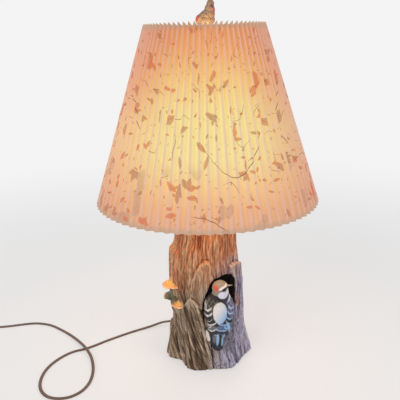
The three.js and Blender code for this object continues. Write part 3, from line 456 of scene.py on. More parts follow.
def tube(name, line, outline, across=(0, 0, 1)):
    """A closed tube of one outline along a line. Its side stands square to the line and to across."""
    line = np.asarray(line, float)
    along = np.gradient(line, axis=0)
    along /= np.linalg.norm(along, axis=1)[:, None]
    side = np.cross(across, along)
    side /= np.maximum(np.linalg.norm(side, axis=1), 1e-9)[:, None]
    over = np.cross(along, side)
    shape = np.array(outline)
    rings = line[:, None] + side[:, None] * shape[:, :1] + over[:, None] * shape[:, 1:]
    count = len(outline)
    faces = []
    for i in range(len(line) - 1):
        for j in range(count):
            k = (j + 1) % count
            low, high = i * count, (i + 1) * count
            faces.append((low + j, low + k, high + k, high + j))
    faces.append(tuple(range(count))[::-1])
    faces.append(tuple(range((len(line) - 1) * count, len(line) * count)))
    mesh = bpy.data.meshes.new(name)
    mesh.from_pydata(rings.reshape(-1, 3).tolist(), [], faces)
    piece = bpy.data.objects.new(name, mesh)
    bpy.context.scene.collection.objects.link(piece)
    return smooth(tidy_mesh(piece), 50)


twin = twin_outline(CORD_WIDTH, CORD_THICKNESS)
supply_cord = tube("supply_cord", cord_line, twin)
print("cord faces", len(supply_cord.data.polygons))

# %% [markdown]
# The trunk is cast to look like real bark, so its surface is the work here. A fine grid is
# wrapped round the trunk: up the outside, over the flat top, down the bore and back down the
# inside. Its points are then moved in or out, as a carver would: long wandering furrows, raised
# slabs and plates of bark, and the hollow in front. Sculpting by hand would do as well, but
# numbers give the same bark each time. They are also kept on the points, so that the finish can
# darken the furrows and lighten the crests.

# %% Sizes of the trunk
FOOT = 74
TRUNK_LOW = 1.8
TRUNK_HIGH = 261.7
TRUNK_TOP = TRUNK_LOW + TRUNK_HIGH
# Mean radius and lean, as shares of the foot radius, by height share
RADIUS_TABLE = [
    (0, 0.912), (0.035, 0.895), (0.09, 0.865), (0.184, 0.82), (0.35, 0.785), (0.53, 0.77),
    (0.66, 0.755), (0.755, 0.722), (0.81, 0.69), (1, 0.62),
]
LEAN_TABLE = [(0, -0.02), (0.09, -0.035), (0.184, -0.05), (0.53, -0.055), (0.755, -0.065), (1, 0)]
FRONT_BULGE = 6
# Raised slabs: angle from, angle to, height share from, height share to, raise
SLABS = [
    (147, 214, 0.32, 0.747, 5.5), (147, 214, -0.1, 0.185, 5.5), (112, 160, -0.1, 0.14, 5.9),
    (-126, -54, -0.1, 0.06, 3), (-50, 20, -0.1, 0.34, 4),
]
# Plates of bark round the hollow: outline in angle and height share, raise, how far they calm
# the furrows, and the angles and the heights over which they rise
ALWAYS = (-999, -998)
TONGUE = [
    (-82.8, 0.695), (-84.7, 0.727), (-89.7, 0.737), (-95, 0.724), (-104.5, 0.675),
    (-112, 0.602), (-115.8, 0.531), (-116.2, 0.47), (-107, 0.452), (-98, 0.41), (-90, 0.43),
    (-86, 0.5), (-80, 0.577), (-80, 0.62), (-83.2, 0.64),
]
TAIL_PLATE = [
    (-115, 0.487), (-108.7, 0.476), (-102.8, 0.453), (-98.8, 0.396), (-96.2, 0.334), (-93, 0.243),
    (-90.6, 0.179), (-87, 0.104), (-84, -0.1), (-145, -0.1), (-145, 0.3), (-128, 0.42),
]
RIGHT_PLATE = [
    (-51, 0.675), (-37, 0.685), (-8, 0.64), (2, 0.625), (2, 0.29), (-52, 0.27), (-50, 0.4),
    (-50, 0.56), (-44, 0.605),
]
PLATES = [
    (TONGUE, 5, 0.85, ALWAYS, ALWAYS),
    (TAIL_PLATE, 7.5, 0.1, (-140, -113), (-0.08, 0.3)),
    (RIGHT_PLATE, 5, 0.4, ALWAYS, ALWAYS),
]
PLATE_EDGE = 2.4
# Outline of the hollow, as side and height
HOLLOW = [
    (-9.6, 92), (-12.4, 110), (-10.5, 124.9), (-3.4, 145), (4.5, 161), (21.4, 164.5),
    (38.4, 163.5), (44, 156), (43.5, 135), (41.5, 121), (45, 112), (40, 104), (37.8, 92),
]
HOLLOW_BACK = -35
HOLLOW_DOME = 9


def from_table(table, heights):
    return np.interp(heights, [h for h, _ in table], [v for _, v in table])


def to_line(x, y, points):
    """Distance from each (x, y) to a line through points, in the same unit."""
    least = np.full(len(x), 1e9)
    for (x0, y0), (x1, y1) in zip(points, points[1:]):
        run = (x1 - x0) ** 2 + (y1 - y0) ** 2
        share = np.clip(((x - x0) * (x1 - x0) + (y - y0) * (y1 - y0)) / run, 0, 1)
        near_x, near_y = x0 + share * (x1 - x0), y0 + share * (y1 - y0)
        least = np.minimum(least, np.hypot(x - near_x, y - near_y))
    return least


def inside_outline(x, y, outline):
    """Distance to an outline, positive inside it."""
    inside = np.zeros(len(x), bool)
    loop = [*outline, outline[0]]
    for (x0, y0), (x1, y1) in zip(loop, loop[1:]):
        if y0 != y1:
            crosses = (y0 > y) != (y1 > y)
            inside ^= crosses & (x < (x1 - x0) * (y - y0) / (y1 - y0) + x0)
    return np.where(inside, 1, -1) * to_line(x, y, loop)


print("trunk radius at mid height", float(FOOT * from_table(RADIUS_TABLE, 0.5)), "mm")

# %% [markdown]
# Bark splits where it can't stretch, so its furrows are long, narrow and wandering, and they
# meet and part again. Two sets of waves round the trunk do that: wherever their sum passes
# through zero, a main furrow is cut, as in the cast itself. Finer furrows between them come from
# noise stretched along the trunk. Low down on the left all of them sweep towards the bird's tail,
# so the angle is shifted there first. Plates of bark stand proud of them, with a raised rim.


# %% Flow and furrows
RIDGE_COUNT = 16
# How far the furrows sweep towards the tail, in degrees
MAIN_SWEEP = 26
FINE_SWEEP = 44


def flow_angle(degrees, height):
    """Angle round the trunk, followed along the main furrows as they sweep to the bird's tail."""
    turned_to = np.where(degrees > 55, degrees - 360, degrees)
    swept = MAIN_SWEEP * np.maximum(0, 1 - height * 2) * np.exp(-(((turned_to + 125) / 45) ** 2))
    return np.radians(turned_to - swept)


def fine_flow(degrees, height):
    """The same for the finer furrows, which sweep further."""
    turned_to = np.where(degrees > 80, degrees - 360, degrees)
    beside = ease(turned_to, -280, -180) * (1 - ease(turned_to, -102, -20))
    return np.radians(turned_to - FINE_SWEEP * np.maximum(0, 1 - height * 2) * beside)


def main_furrow(flow, height):
    """1 in the middle of a main furrow and 0 beside it."""
    sway = 0.9 * np.sin(height * 5 + 1) + 0.5 * np.sin(height * 13 + flow * 2)
    first = np.sin(RIDGE_COUNT * flow + sway)
    second = np.sin(flow * 11 - height * 6 + 0.9 * np.sin(flow * 3 + height * 5))
    return 1 - ease(np.abs(first + 0.8 * second), 0.02, 0.7)


def furrow(flow, height, ring, tall, width, seed):
    """A finer furrow. Ring is the size of its noise round the trunk, and tall along it."""
    spread = np.stack([ring * np.cos(flow), ring * np.sin(flow), tall * height + seed], axis=1)
    wander = np.stack([spread[:, 2] * 1.3, spread[:, 0] * 0.35, spread[:, 1] * 0.35], axis=1)
    spread[:, 0] += 0.35 * grain(wander)
    return 1 - ease(np.abs(grain(spread)), 0, width)


once_round = main_furrow(np.radians(np.arange(-180, 180)), np.full(360, 0.4))
print("share of the bark in main furrows", round(float((once_round > 0.5).mean()), 2))

# %% [markdown]
# Where bark has grown over a wound it stands proud in slabs and plates with a thick edge. A slab is
# a soft patch in angle and height. A plate has an outline of its own, with a raised rim inside it
# and a groove outside it, and it smooths the furrows that run under it.

# %% Slabs and plates
# How ragged the edges are, in height share and in millimetres
SLAB_RAGGED = 0.014
PLATE_RAGGED = (0.9, 0.5)


def slabs(degrees, flow, height):
    """Raise of the broad slabs, in millimetres."""
    wrapped = np.where(degrees < -140, degrees + 360, degrees)
    ragged = grain(np.stack([flow * 9, height * 4, height * 0], axis=1))
    upper = height + SLAB_RAGGED * ragged
    proud = np.zeros(len(height))
    for a0, a1, h0, h1, raise_by in SLABS:
        across = ease(wrapped, a0 - 8, a0 + 8) * (1 - ease(wrapped, a1 - 8, a1 + 8))
        along = ease(height, h0 - 0.01, h0 + 0.03) * (1 - ease(upper, h1 - 0.02, h1 + 0.02))
        proud = np.maximum(proud, raise_by * across * along)
    return proud


def with_plates(degrees, height, proud):
    """Adds the plates to the slabs, and gives their calm, their rims and the groove outside."""
    x, y = degrees * FOOT * math.pi / 180, height * TRUNK_HIGH
    calm, rim, outside = np.zeros(len(x)), np.zeros(len(x)), np.zeros(len(x))
    wavy = PLATE_RAGGED[0] * grain(np.stack([x * 0.14, y * 0.14, x * 0], axis=1))
    wavy += PLATE_RAGGED[1] * grain(np.stack([x * 0.4, y * 0.4, x * 0], axis=1))
    for outline, raise_by, calms, around, rise in PLATES:
        line = [(a * FOOT * math.pi / 180, h * TRUNK_HIGH) for a, h in outline]
        inside = inside_outline(x, y, line) + wavy
        seen = ease(degrees, *around)
        share = ease(inside, -PLATE_EDGE / 2, PLATE_EDGE) * seen
        ridge = seen * np.exp(-(((inside - 2.2) / 1.3) ** 2))
        groove = seen * np.exp(-(((inside + 1.9) / 1.1) ** 2))
        proud = np.maximum(proud, raise_by * share * ease(height, *rise))
        calm = np.maximum(calm, calms * share)
        rim = np.maximum(rim * (1 - share), ridge)
        outside = np.maximum(outside * (1 - share), groove)
    return proud, calm, rim, outside


print("plates:", len(PLATES), "and slabs:", len(SLABS))

# %% [markdown]
# The relief adds up all that moves the bark in or out: slabs and plates, three sizes of furrow,
# fibres, grit, a slow swell, and the flutes of the roots at the foot. The deepest furrow wins where
# several meet, because a sum of them would cut too deep.

# %% Relief of the bark
FURROW_DEPTH = 3
FIBRE_RAISE = 0.3
GRIT_RAISE = 0.22
RIM_RAISE = 0.8
GROOVE_OUTSIDE = 1.3
SWELL = 1.3
FLUTES = 7
FLUTE_SHARE = 0.045


def bark_relief(angle, height):
    """Raise of the bark in millimetres, then its furrow, calm and rim shares."""
    degrees = np.degrees(angle)
    flow = flow_angle(degrees, height)
    proud, calm, rim, outside = with_plates(degrees, height, slabs(degrees, flow, height))
    low = 1 - ease(height, 0.38, 0.6)
    deep = main_furrow(flow, height) * (0.6 + 0.4 * low) * (1 - calm)
    flow = fine_flow(degrees, height)
    plain = furrow(flow, height, 15, 5, 0.17, 20) * (1 - calm * 0.6)
    fine = furrow(flow, height, 32, 9, 0.24, 40)
    cut = np.maximum.reduce([deep, plain * 0.75, fine * 0.5])
    shallow = FURROW_DEPTH * (cut - 0.35)
    fibre = grain(np.stack([46 * np.cos(flow), 46 * np.sin(flow), 17 * height], axis=1))
    grit = grain(np.stack([70 * np.cos(flow), 70 * np.sin(flow), 75 * height], axis=1))
    swell = SWELL * np.cos(FLUTES * angle - height * 4)
    foot = FOOT * FLUTE_SHARE * (1 - ease(height, 0, 0.12)) * np.cos(FLUTES * angle + 1.24)
    front_bulge = FRONT_BULGE * np.maximum(0, -np.sin(angle)) ** 2
    raised = proud + foot + front_bulge + swell - shallow
    raised = raised + FIBRE_RAISE * fibre + GRIT_RAISE * grit
    raised = raised + RIM_RAISE * rim - GROOVE_OUTSIDE * outside
    return raised, np.maximum(cut, 1.15 * outside), calm, rim


sample = bark_relief(np.array([-1.5]), np.array([0.4]))
print("relief at one point", [round(float(v[0]), 2) for v in sample])

# %% [markdown]
# The grid of the trunk has two shares for each point. One runs round it, and the other runs in
# five stretches: in under the foot, up the bark, over the top, down the bore and down the inside.
# The hollow is pressed straight back, as if cut with a gouge, because a boolean would leave thin
# triangles in the fine grid. A small flat seat takes the cord's bushing.

# %% Hollow and cord seat
SEAT_RADIUS = 66.6
SEAT_EDGE = (8.2, 9.6)


def hollowed(x, y, z, side):
    """Takes the points inside the hollow's outline straight back, and tells how far each went."""
    ragged = 1.6 * grain(np.stack([x * 0.16, z * 0.1, x * 0], axis=1))
    depth = inside_outline(x, z, HOLLOW) + ragged
    sunk = np.where(side & (y < 0), ease(depth, -0.6, 2.2), 0)
    dome = HOLLOW_BACK - HOLLOW_DOME * (1 - ease(depth, 0, 16))
    return y + (np.maximum(dome, y) - y) * sunk, sunk


def seated(x, y, z, side):
    """Flattens the bark where the cord's bushing sits."""
    away = np.array([math.cos(EXIT_ANGLE), math.sin(EXIT_ANGLE)])
    out = x * away[0] + y * away[1]
    beside = np.hypot(x * -away[1] + y * away[0], z - EXIT_HEIGHT)
    push = (SEAT_RADIUS - out) * np.where(side & (out > 0), 1 - ease(beside, *SEAT_EDGE), 0)
    return x + push * away[0], y + push * away[1]


print("hollow is", max(z for _, z in HOLLOW) - min(z for _, z in HOLLOW), "mm tall")

# %% Trunk
TRUNK_COLUMNS = 330
TRUNK_ROWS = 232
# Where each stretch of the grid ends, as shares of its rows
RIM_SHARE, SIDE_SHARE, TOP_SHARE, BORE_SHARE = 0.02, 0.91, 0.955, 0.965
BORE_RADIUS = 5.3
TOP_WALL = 12
CASTING_WALL = 9
UNDER_SHARE = 0.12
# How far the inside is drawn back behind the hollow
NICHE_ROOM = 12


def trunk_points(u, v):
    angle = (u - 0.5) * 2 * math.pi
    side = (v >= RIM_SHARE) & (v <= SIDE_SHARE)
    within = v > BORE_SHARE
    height = np.clip((v - RIM_SHARE) / (SIDE_SHARE - RIM_SHARE), 0, 1)
    raised, cut, calm, rim = bark_relief(angle, height)
    near_top = ease(height, 0.985, 1)
    raised = raised * (1 - 0.75 * near_top) - 1.2 * near_top
    outer = FOOT * from_table(RADIUS_TABLE, height) + raised
    # In under the foot, then over the top
    outward = np.clip(v / RIM_SHARE, 0, 1)
    inner = max(FOOT * float(from_table(RADIUS_TABLE, 0)) - CASTING_WALL, 0)
    radius = np.where(v < RIM_SHARE, inner + (outer - inner) * outward, outer)
    top = np.clip((v - SIDE_SHARE) / (TOP_SHARE - SIDE_SHARE), 0, 1)
    radius = np.where(v > SIDE_SHARE, outer + (BORE_RADIUS - outer) * top, radius)
    # Down the bore, then out and down the inside
    bore = v > TOP_SHARE - 1e-9
    down = np.clip((v - TOP_SHARE) / (BORE_SHARE - TOP_SHARE), 0, 1)
    back = np.clip((v - BORE_SHARE) / (1 - BORE_SHARE), 0, 1)
    under = np.clip(back / UNDER_SHARE, 0, 1)
    share = np.clip(1 - (back - UNDER_SHARE) / (1 - UNDER_SHARE), 0, 1)
    wall = FOOT * from_table(RADIUS_TABLE, share) - CASTING_WALL
    drawn_in = NICHE_ROOM * ease(share, 0.12, 0.3) * (1 - ease(share, 0.66, 0.82))
    radius = np.where(bore, BORE_RADIUS, radius)
    radius = np.where(within, BORE_RADIUS + (wall - drawn_in - BORE_RADIUS) * under, radius)
    z = np.where(bore, TRUNK_TOP - TOP_WALL * down, TRUNK_LOW + height * TRUNK_HIGH)
    z = np.where(within, TRUNK_LOW + share * (TRUNK_HIGH - TOP_WALL), z)
    lean = FOOT * from_table(LEAN_TABLE, np.clip((z - TRUNK_LOW) / TRUNK_HIGH, 0, 1))
    lean = np.where(v > SIDE_SHARE, lean * np.where(within, under, 1 - top), lean)
    x = lean + radius * np.cos(angle)
    y = radius * np.sin(angle) + np.where(within, drawn_in * under, 0)
    y, sunk = hollowed(x, y, z, side)
    x, y = seated(x, y, z, side)
    flow = fine_flow(np.degrees(angle), height)
    flow = np.stack([np.cos(flow) * FOOT * MM, np.sin(flow) * FOOT * MM, z * MM], axis=1)
    cut, calm, rim = (np.where(side, share_of, 0) for share_of in (cut, calm, rim))
    trunk_points.kept = {"furrow": cut, "calm": calm, "rim": rim, "sunk": sunk, "flow": flow}
    return np.stack([x, y, z], axis=1) * MM


trunk = sheet_of("trunk_bark", TRUNK_COLUMNS, TRUNK_ROWS, trunk_points)
for name, values in trunk_points.kept.items():
    store(trunk, name, values)
smooth(tidy_mesh(trunk, 2e-6))
print("trunk faces", len(trunk.data.polygons))

# %% [markdown]
# The woodpecker clings to the trunk with its back to the viewer and looks to the right. It could
# be drawn out of one cube, but its head, wings and tail are round masses that run into each other.
# So its body is put together from a few stretched balls, as a modeller builds up clay, and a voxel
# remesh makes one skin of them.


# %% Body of the woodpecker
def ball(name, centre, half, tilt=0.0, spin=0.0, segments=40):
    """A stretched ball, in millimetres; tilt leans it sideways, spin turns it about the vertical."""
    only()
    bpy.ops.mesh.primitive_uv_sphere_add(segments=segments, ring_count=segments // 2, radius=MM)
    piece = named(name)
    bpy.ops.object.mode_set(mode="EDIT")
    bpy.ops.transform.resize(value=half)
    bpy.ops.transform.rotate(value=math.radians(-tilt), orient_axis="Y", center_override=(0, 0, 0))
    bpy.ops.transform.rotate(value=math.radians(spin), orient_axis="Z", center_override=(0, 0, 0))
    bpy.ops.transform.translate(value=Vector(centre) * MM)
    bpy.ops.object.mode_set(mode="OBJECT")
    return piece


def in_order(piece):
    """Sorts points and faces by place, since Blender lists those of a ball anew in each run."""
    places = [tuple(point.co) for point in piece.data.vertices]
    order = sorted(range(len(places)), key=lambda index: places[index])
    rank = {old: new for new, old in enumerate(order)}
    faces = sorted(tuple(rank[index] for index in face.vertices) for face in piece.data.polygons)
    piece.data.clear_geometry()
    piece.data.from_pydata([places[index] for index in order], [], faces)
    return piece


def joined(name, pieces, voxel, rounds):
    """One skin over several closed meshes."""
    only(pieces[0])
    for piece in pieces:
        piece.select_set(True)
    bpy.ops.object.join()
    whole = bpy.context.object
    whole.name = name
    whole.data.name = name
    modify(whole, "REMESH", mode="VOXEL", voxel_size=voxel * MM)
    modify(whole, "SMOOTH", factor=0.5, iterations=rounds)
    return whole


BIRD_BALLS = [
    # centre, half sizes, tilt, spin
    ((16.9, -75, 153.6), (12.8, 12.4, 12.9), 0, 0),
    ((17.6, -73, 145), (13.4, 12.4, 12), 6, 0),
    ((15.5, -70, 132), (18.5, 13.2, 15), 0, 0),
    ((14.8, -69, 113), (20.5, 13.5, 26), 0, 0),
    ((13.5, -66.5, 89), (16.5, 12.5, 24), 0, 0),
    ((10.5, -64.5, 62), (12.5, 8.5, 22), 4, 0),
    ((11, -64, 48), (12, 5.5, 17), -3, 0),
    ((-3, -66.5, 64), (4.6, 5, 13), -8, 0),
    ((-1, -69.5, 110), (7.6, 10.5, 26), -2, 0),
    ((31.4, -69.5, 109), (7.6, 10.5, 26), 3, 0),
    ((2.6, -70, 84), (7.6, 8.5, 20), -8, 0),
    ((25.5, -70, 82), (8, 8.5, 20), 8, 0),
]
parts = [ball(f"bird_part_{i}", c, h, t, s) for i, (c, h, t, s) in enumerate(BIRD_BALLS)]
bird = joined("woodpecker_body", parts, 0.75, 6)
print("bird faces", len(bird.data.polygons))

# %% [markdown]
# Its feathers are pressed into the skin and then painted: rows of scallops on the back and the
# wings, and long feathers on the tail. Separate feathers would leave gaps, so the skin is only
# moved along its normals. The painted marks are places on the bird, so each of them is an ellipse
# in the view from the front, with a slightly ragged edge, and a few pale rims are crescents.


# %% Helpers for marks and feathers
MARK_RAGGED = 0.55
MARK_GRAIN = 330


def spot(points, centre, half, lean=0.0, soft=0.3):
    """1 inside a leaning ragged ellipse in the view from the front, 0 outside."""
    x = points[:, 0] / MM - centre[0] + MARK_RAGGED * grain(points, MARK_GRAIN)
    z = points[:, 2] / MM - centre[1] + MARK_RAGGED * grain(points[:, ::-1], MARK_GRAIN)
    c, s = math.cos(math.radians(lean)), math.sin(math.radians(lean))
    out = np.hypot((x * c + z * s) / half[0], (z * c - x * s) / half[1])
    return 1 - ease(out, 1 - soft, 1 + soft)


def spots(points, places):
    """The strongest of several spots at each point."""
    return np.maximum.reduce([
        strength * spot(points, centre, half, lean, soft)
        for centre, half, lean, soft, strength in places
    ])


def crescent(points, centre, half, lean=0.0, thick=2.4):
    """The pale lower rim of a rounded feather."""
    above = (centre[0] - thick * math.sin(math.radians(lean)), centre[1] + thick)
    return spot(points, centre, half, lean, 0.1) * (1 - spot(points, above, half, lean, 0.1))


def scallops(points, middle, wide, tall):
    """Rows of rounded feather tips: how high each point lies in its feather, and its edge share."""
    x, z = points[:, 0] / MM - middle[0], points[:, 2] / MM - middle[1]
    best = np.zeros(len(x))
    edge = np.zeros(len(x))
    for shift in (0, 1):
        row = np.floor(z / tall) + shift
        stagger = 0.5 * (row % 2)
        across = (x / wide + stagger) - np.floor(x / wide + stagger) - 0.5
        down = (row * tall + tall * 0.5 - z) / tall
        reach = np.hypot(across * 1.9, np.maximum(down, 0) / 1.05)
        inside = (reach < 1) & (down > -0.55)
        high = np.where(inside, 0.4 + 0.6 * ease(down, -0.4, 0.9), 0)
        newer = high > best
        best = np.where(newer, high, best)
        edge = np.where(newer, ease(reach, 0.66, 0.92), edge)
    return best, edge


place = points_of(bird)
FEATHER_WIDE, FEATHER_TALL = 6.2, 6.4
high, tips = scallops(place, (15, 50), FEATHER_WIDE, FEATHER_TALL)
print("share of the bird under feather tips", round(float((tips > 0.5).mean()), 2))

# %% Feathers of the woodpecker
TAIL_FEATHER = 4.2
TAIL_DEPTH = 0.8
front = ease(-place[:, 1] / MM, 64, 68)
body_z = place[:, 2] / MM
on_body = ease(-body_z, -141, -137)
in_tail = 1 - ease(body_z, 66, 74)
long_x = place[:, 0] / MM - 10.5 - 0.06 * (body_z - 50)
tail_rows = np.abs(((long_x / TAIL_FEATHER) % 1) - 0.5) * 2
back_feathers = (1 - in_tail) * (0.95 * high - 0.35)
tail_feathers = in_tail * TAIL_DEPTH * ease(tail_rows, 0.7, 1)
pressed = front * on_body * (back_feathers - tail_feathers)
push_out(bird, pressed + 0.12 * grain(place, 900))
print("feathers stand out by up to", round(float(pressed.max()), 2), "mm")

# %% Marks of the woodpecker
# Centre, half sizes, lean and thickness of each pale feather rim
FEATHER_RIMS = [
    ((-3.2, 119.5), (6.2, 4.6), 14, 3.2), ((-2.4, 110.5), (6.4, 4.8), 16, 3.2),
    ((-1, 99), (4.6, 3.4), 24, 1), ((35.2, 122.5), (5.6, 4.8), -16, 3),
    ((33.8, 113.5), (5.8, 4.6), -16, 2.8), ((31.6, 104), (5.6, 4.4), -18, 2.6),
    ((2.4, 93), (8.2, 4.6), 14, 2), ((21.6, 92.5), (9.6, 4.8), -8, 2),
    ((31, 95), (5, 5), -24, 2), ((3.8, 82.6), (6.8, 5.6), 10, 2.6),
    ((18.6, 82.4), (9.2, 6.2), -6, 2.6), ((28.2, 86.4), (5, 5.4), -20, 2.4),
    ((-1.5, 88), (3.4, 4), 20, 1.6), ((10.2, 69.5), (3.4, 4), 4, 1.4), ((21, 70), (4, 4.4), -4, 1.6),
]
# Centre, half sizes, lean, softness and strength of each painted place
WHITE_PLACES = [
    ((16.2, 111.8), (11.2, 20.6), 0, 0.05, 1), ((20.9, 145.4), (7.6, 6.9), -16, 0.08, 1),
    ((28.2, 151), (1.9, 5.6), 4, 0.1, 1), ((21.8, 158.9), (8, 2.2), 21, 0.14, 1),
    ((-3.9, 63), (3.4, 11.5), 8, 0.12, 1), ((33.2, 139.5), (2, 11.5), -25, 0.2, 0.9),
    ((-6.9, 127), (1.6, 10.5), 10, 0.3, 0.62),
]
# Painted highlights: blue sheen streaks on the black tail
BLUE_SHEEN_PLACES = [
    ((12.4, 58), (2.4, 12.5), -4, 0.3, 1), ((21.4, 57.5), (2.4, 14), -6, 0.3, 1),
    ((31.2, 80), (2.2, 13), 12, 0.3, 1),
]
PALE_PLACES = [
    ((3.8, 83.4), (5.8, 4.4), 0, 0.3, 1), ((18.6, 83.4), (8, 5), 0, 0.3, 1),
    ((28, 87), (4, 4.2), 0, 0.3, 1), ((6.4, 61), (2.2, 10), 0, 0.3, 1),
    ((9.6, 63), (1.6, 8), 0, 0.3, 1),
]
LILAC_PLACES = [((34.5, 118), (6.4, 16), 8, 0.3, 1), ((31, 134), (5, 9), -24, 0.4, 0.5)]
broken = 0.72 + 0.28 * ease(grain(place, 420), -0.3, 0.3)
white = spots(place, WHITE_PLACES)
for centre, half, lean, thick in FEATHER_RIMS:
    white = np.maximum(white, broken * crescent(place, centre, half, lean, thick))
unpainted = front * (1 - white)
bird_marks = {
    "white": white * front,
    "blue": spots(place, BLUE_SHEEN_PLACES) * front,
    "pale": spots(place, PALE_PLACES) * unpainted,
    "lilac": spots(place, LILAC_PLACES) * unpainted,
    "crown": ease(body_z, 140.5, 143.5),
    "stripe": spot(place, (25, 156), (6.2, 2.4), 15, 0.16) * front,
    "red": spot(place, (10.2, 157.6), (4.3, 4.6), 20, 0.3),
    "collar": spot(place, (13.5, 138.6), (17, 4.8), -9, 0.25) * (1 - white),
    "mantle": spot(place, (4, 126), (11, 13), 0, 0.3),
    "tips": tips * front * on_body,
}
for name, values in bird_marks.items():
    store(bird, name, values)
smooth(bird)
print("marks on the bird:", ", ".join(bird_marks))

# %% [markdown]
# The beak is a short cone that bends down a little at its tip, and the eye a bead that is set into
# the head. Both are pieces of their own, since they are smooth and shiny where the bird is not.

# %% Beak and eye of the woodpecker
only()
bpy.ops.mesh.primitive_cone_add(vertices=24, radius1=0.6 * MM, radius2=2.5 * MM, depth=11 * MM)
beak = named("woodpecker_beak")
bpy.ops.object.mode_set(mode="EDIT")
bpy.ops.mesh.subdivide(number_cuts=3)
bpy.ops.transform.resize(value=(0.78, 0.85, 1))
bpy.ops.transform.rotate(value=math.radians(98), orient_axis="Y", center_override=(0, 0, 0))
bpy.ops.transform.translate(value=Vector((30.6, -78, 159.6)) * MM)
bpy.ops.object.mode_set(mode="OBJECT")
reach = points_of(beak)
reach[:, 2] -= 0.5 * MM * ease(reach[:, 0], 28 * MM, 37 * MM)
move_points(beak, reach)
smooth(tidy_mesh(beak), 50)
eye = ball("woodpecker_eye", (25.2, -84.3, 157.4), (1.7, 1.5, 1.7), segments=24)
smooth(in_order(eye))
print("beak reaches x", round(float(reach[:, 0].max() / MM), 1), "mm")

# %% [markdown]
# Three bracket fungi grow on the left of the trunk. Each is a half round cap with a thin wavy
# brim, a raised middle and growth rings, and it runs a little way into the bark. One grid is
# turned into each: from the middle of the top, out over the brim and back under it. A squashed
# ball would be quicker, but it has no brim.

# %% Fungi
FUNGI = [
    # name, angle, height share of the underside, half width, reach, height, raise of the bark there
    ("fungus_cap_upper", -158, 0.512, 17.5, 23, 22, 4),
    ("fungus_cap_middle", -156, 0.437, 17.5, 21.5, 13.5, 4),
    ("fungus_cap_lower", -141, 0.394, 13.5, 14.5, 19, 0.5),
]
BRIM_SHARE = 0.62


def cap_points(u, v, angle, share, wide, reach, tall, bark_raise):
    round_by = u * 2 * math.pi
    over = v < BRIM_SHARE
    out = np.where(over, v / BRIM_SHARE, 1 - 0.97 * (v - BRIM_SHARE) / (1 - BRIM_SHARE))
    ragged = 0.05 * np.sin(round_by * 5 + angle) + 0.03 * np.sin(round_by * 11)
    out = out * (1 + ragged * ease(out, 0.3, 1))
    fall = 1 - np.minimum(out, 1)
    upper = tall * (0.07 * ease(fall, 0, 0.06) + 0.28 * fall + 0.65 * fall ** 3)
    growth = 0.45 * np.sin(out * 24) * ease(out, 0.25, 0.5) * ease(1.02 - out, 0, 0.2)
    lower = 1.6 * ease(fall, 0, 0.5) - 0.6
    z = np.where(over, upper + growth, lower)
    start = FOOT * float(from_table(RADIUS_TABLE, share)) + bark_raise
    along = start + (reach - bark_raise) * out * np.cos(round_by)
    side = wide * out * np.sin(round_by)
    c, s = math.cos(math.radians(angle)), math.sin(math.radians(angle))
    x = FOOT * float(from_table(LEAN_TABLE, share)) + along * c - side * s
    return np.stack([x, along * s + side * c, z + TRUNK_LOW + share * TRUNK_HIGH], axis=1) * MM


caps = []
for name, *shape in FUNGI:
    cap = sheet_of(name, 72, 44, lambda u, v: cap_points(u, v, *shape))
    _, share, _, _, tall, _ = shape
    risen = points_of(cap)[:, 2] / MM - TRUNK_LOW - share * TRUNK_HIGH
    store(cap, "rise", np.clip(risen / tall, 0, 1))
    caps.append(smooth(tidy_mesh(cap, 1e-5)))
print("caps", [cap.name for cap in caps])

# %% [markdown]
# The shade is one long strip of stiff fabric, folded into 76 pleats and stretched between two
# wire rings. The folds are deeper at the top, where the ring is small, so the strip keeps its
# length. Its grid has ten columns a pleat, rounded a little at the folds, and real pleats are
# never quite even, so each one is a little narrower or deeper than the next. Folding a flat strip
# with a cloth simulation would give the same shape, but not twice in a row.

# %% Shade
PLEATS = 76
PLEAT_COLUMNS = 10
SHADE_LOW = 283
SHADE_HIGH = 553
SHADE_LOW_RADIUS = 179.5
SHADE_HIGH_RADIUS = 91.5
PLEAT_LOW_DEPTH = 4.4
PLEAT_HIGH_DEPTH = 7.6
PLEAT_TOOTH = 6
PLEAT_ROWS = 34
PLEAT_SHARP = 0.975
# Spread of the pleats' depth and place, and how far they bow, in millimetres
DEPTH_SPREAD = 0.07
PLACE_SPREAD = 0.012
PLEAT_BOW = 0.25
SHADE_WALL = 0.7


def shade_points(u, v):
    count = u * PLEATS
    number = np.floor(count + 0.5).astype(int) % PLEATS
    chance = np.random.default_rng(7)
    deeper = chance.normal(0, DEPTH_SPREAD, PLEATS)[number]
    shifted = chance.normal(0, PLACE_SPREAD, PLEATS)[number]
    wave = np.cos(2 * math.pi * count)
    fold = 0.5 + 0.5 * np.arcsin(PLEAT_SHARP * wave) / math.asin(PLEAT_SHARP)
    soft = PLEAT_BOW * np.sin(v * 7 + number * 2.3) * np.sin(v * math.pi)
    depth = PLEAT_LOW_DEPTH + (PLEAT_HIGH_DEPTH - PLEAT_LOW_DEPTH) * v
    mean = SHADE_LOW_RADIUS + (SHADE_HIGH_RADIUS - SHADE_LOW_RADIUS) * v
    radius = mean - depth * (1 - fold) * (1 + deeper * fold * (1 - fold) * 4) + soft * fold
    angle = 2 * math.pi * (count + shifted * fold) / PLEATS
    z = SHADE_LOW + (SHADE_HIGH - PLEAT_TOOTH - SHADE_LOW) * v + PLEAT_TOOTH * fold * v
    shade_points.kept = fold
    return np.stack([radius * np.cos(angle), radius * np.sin(angle), z], axis=1) * MM


shade = sheet_of("pleated_shade", PLEATS * PLEAT_COLUMNS, PLEAT_ROWS, shade_points)
store(shade, "fold", shade_points.kept)
tidy_mesh(shade)
modify(shade, "SOLIDIFY", thickness=SHADE_WALL * MM, offset=-1)
smooth(shade, 60)
print("shade faces", len(shade.data.polygons))

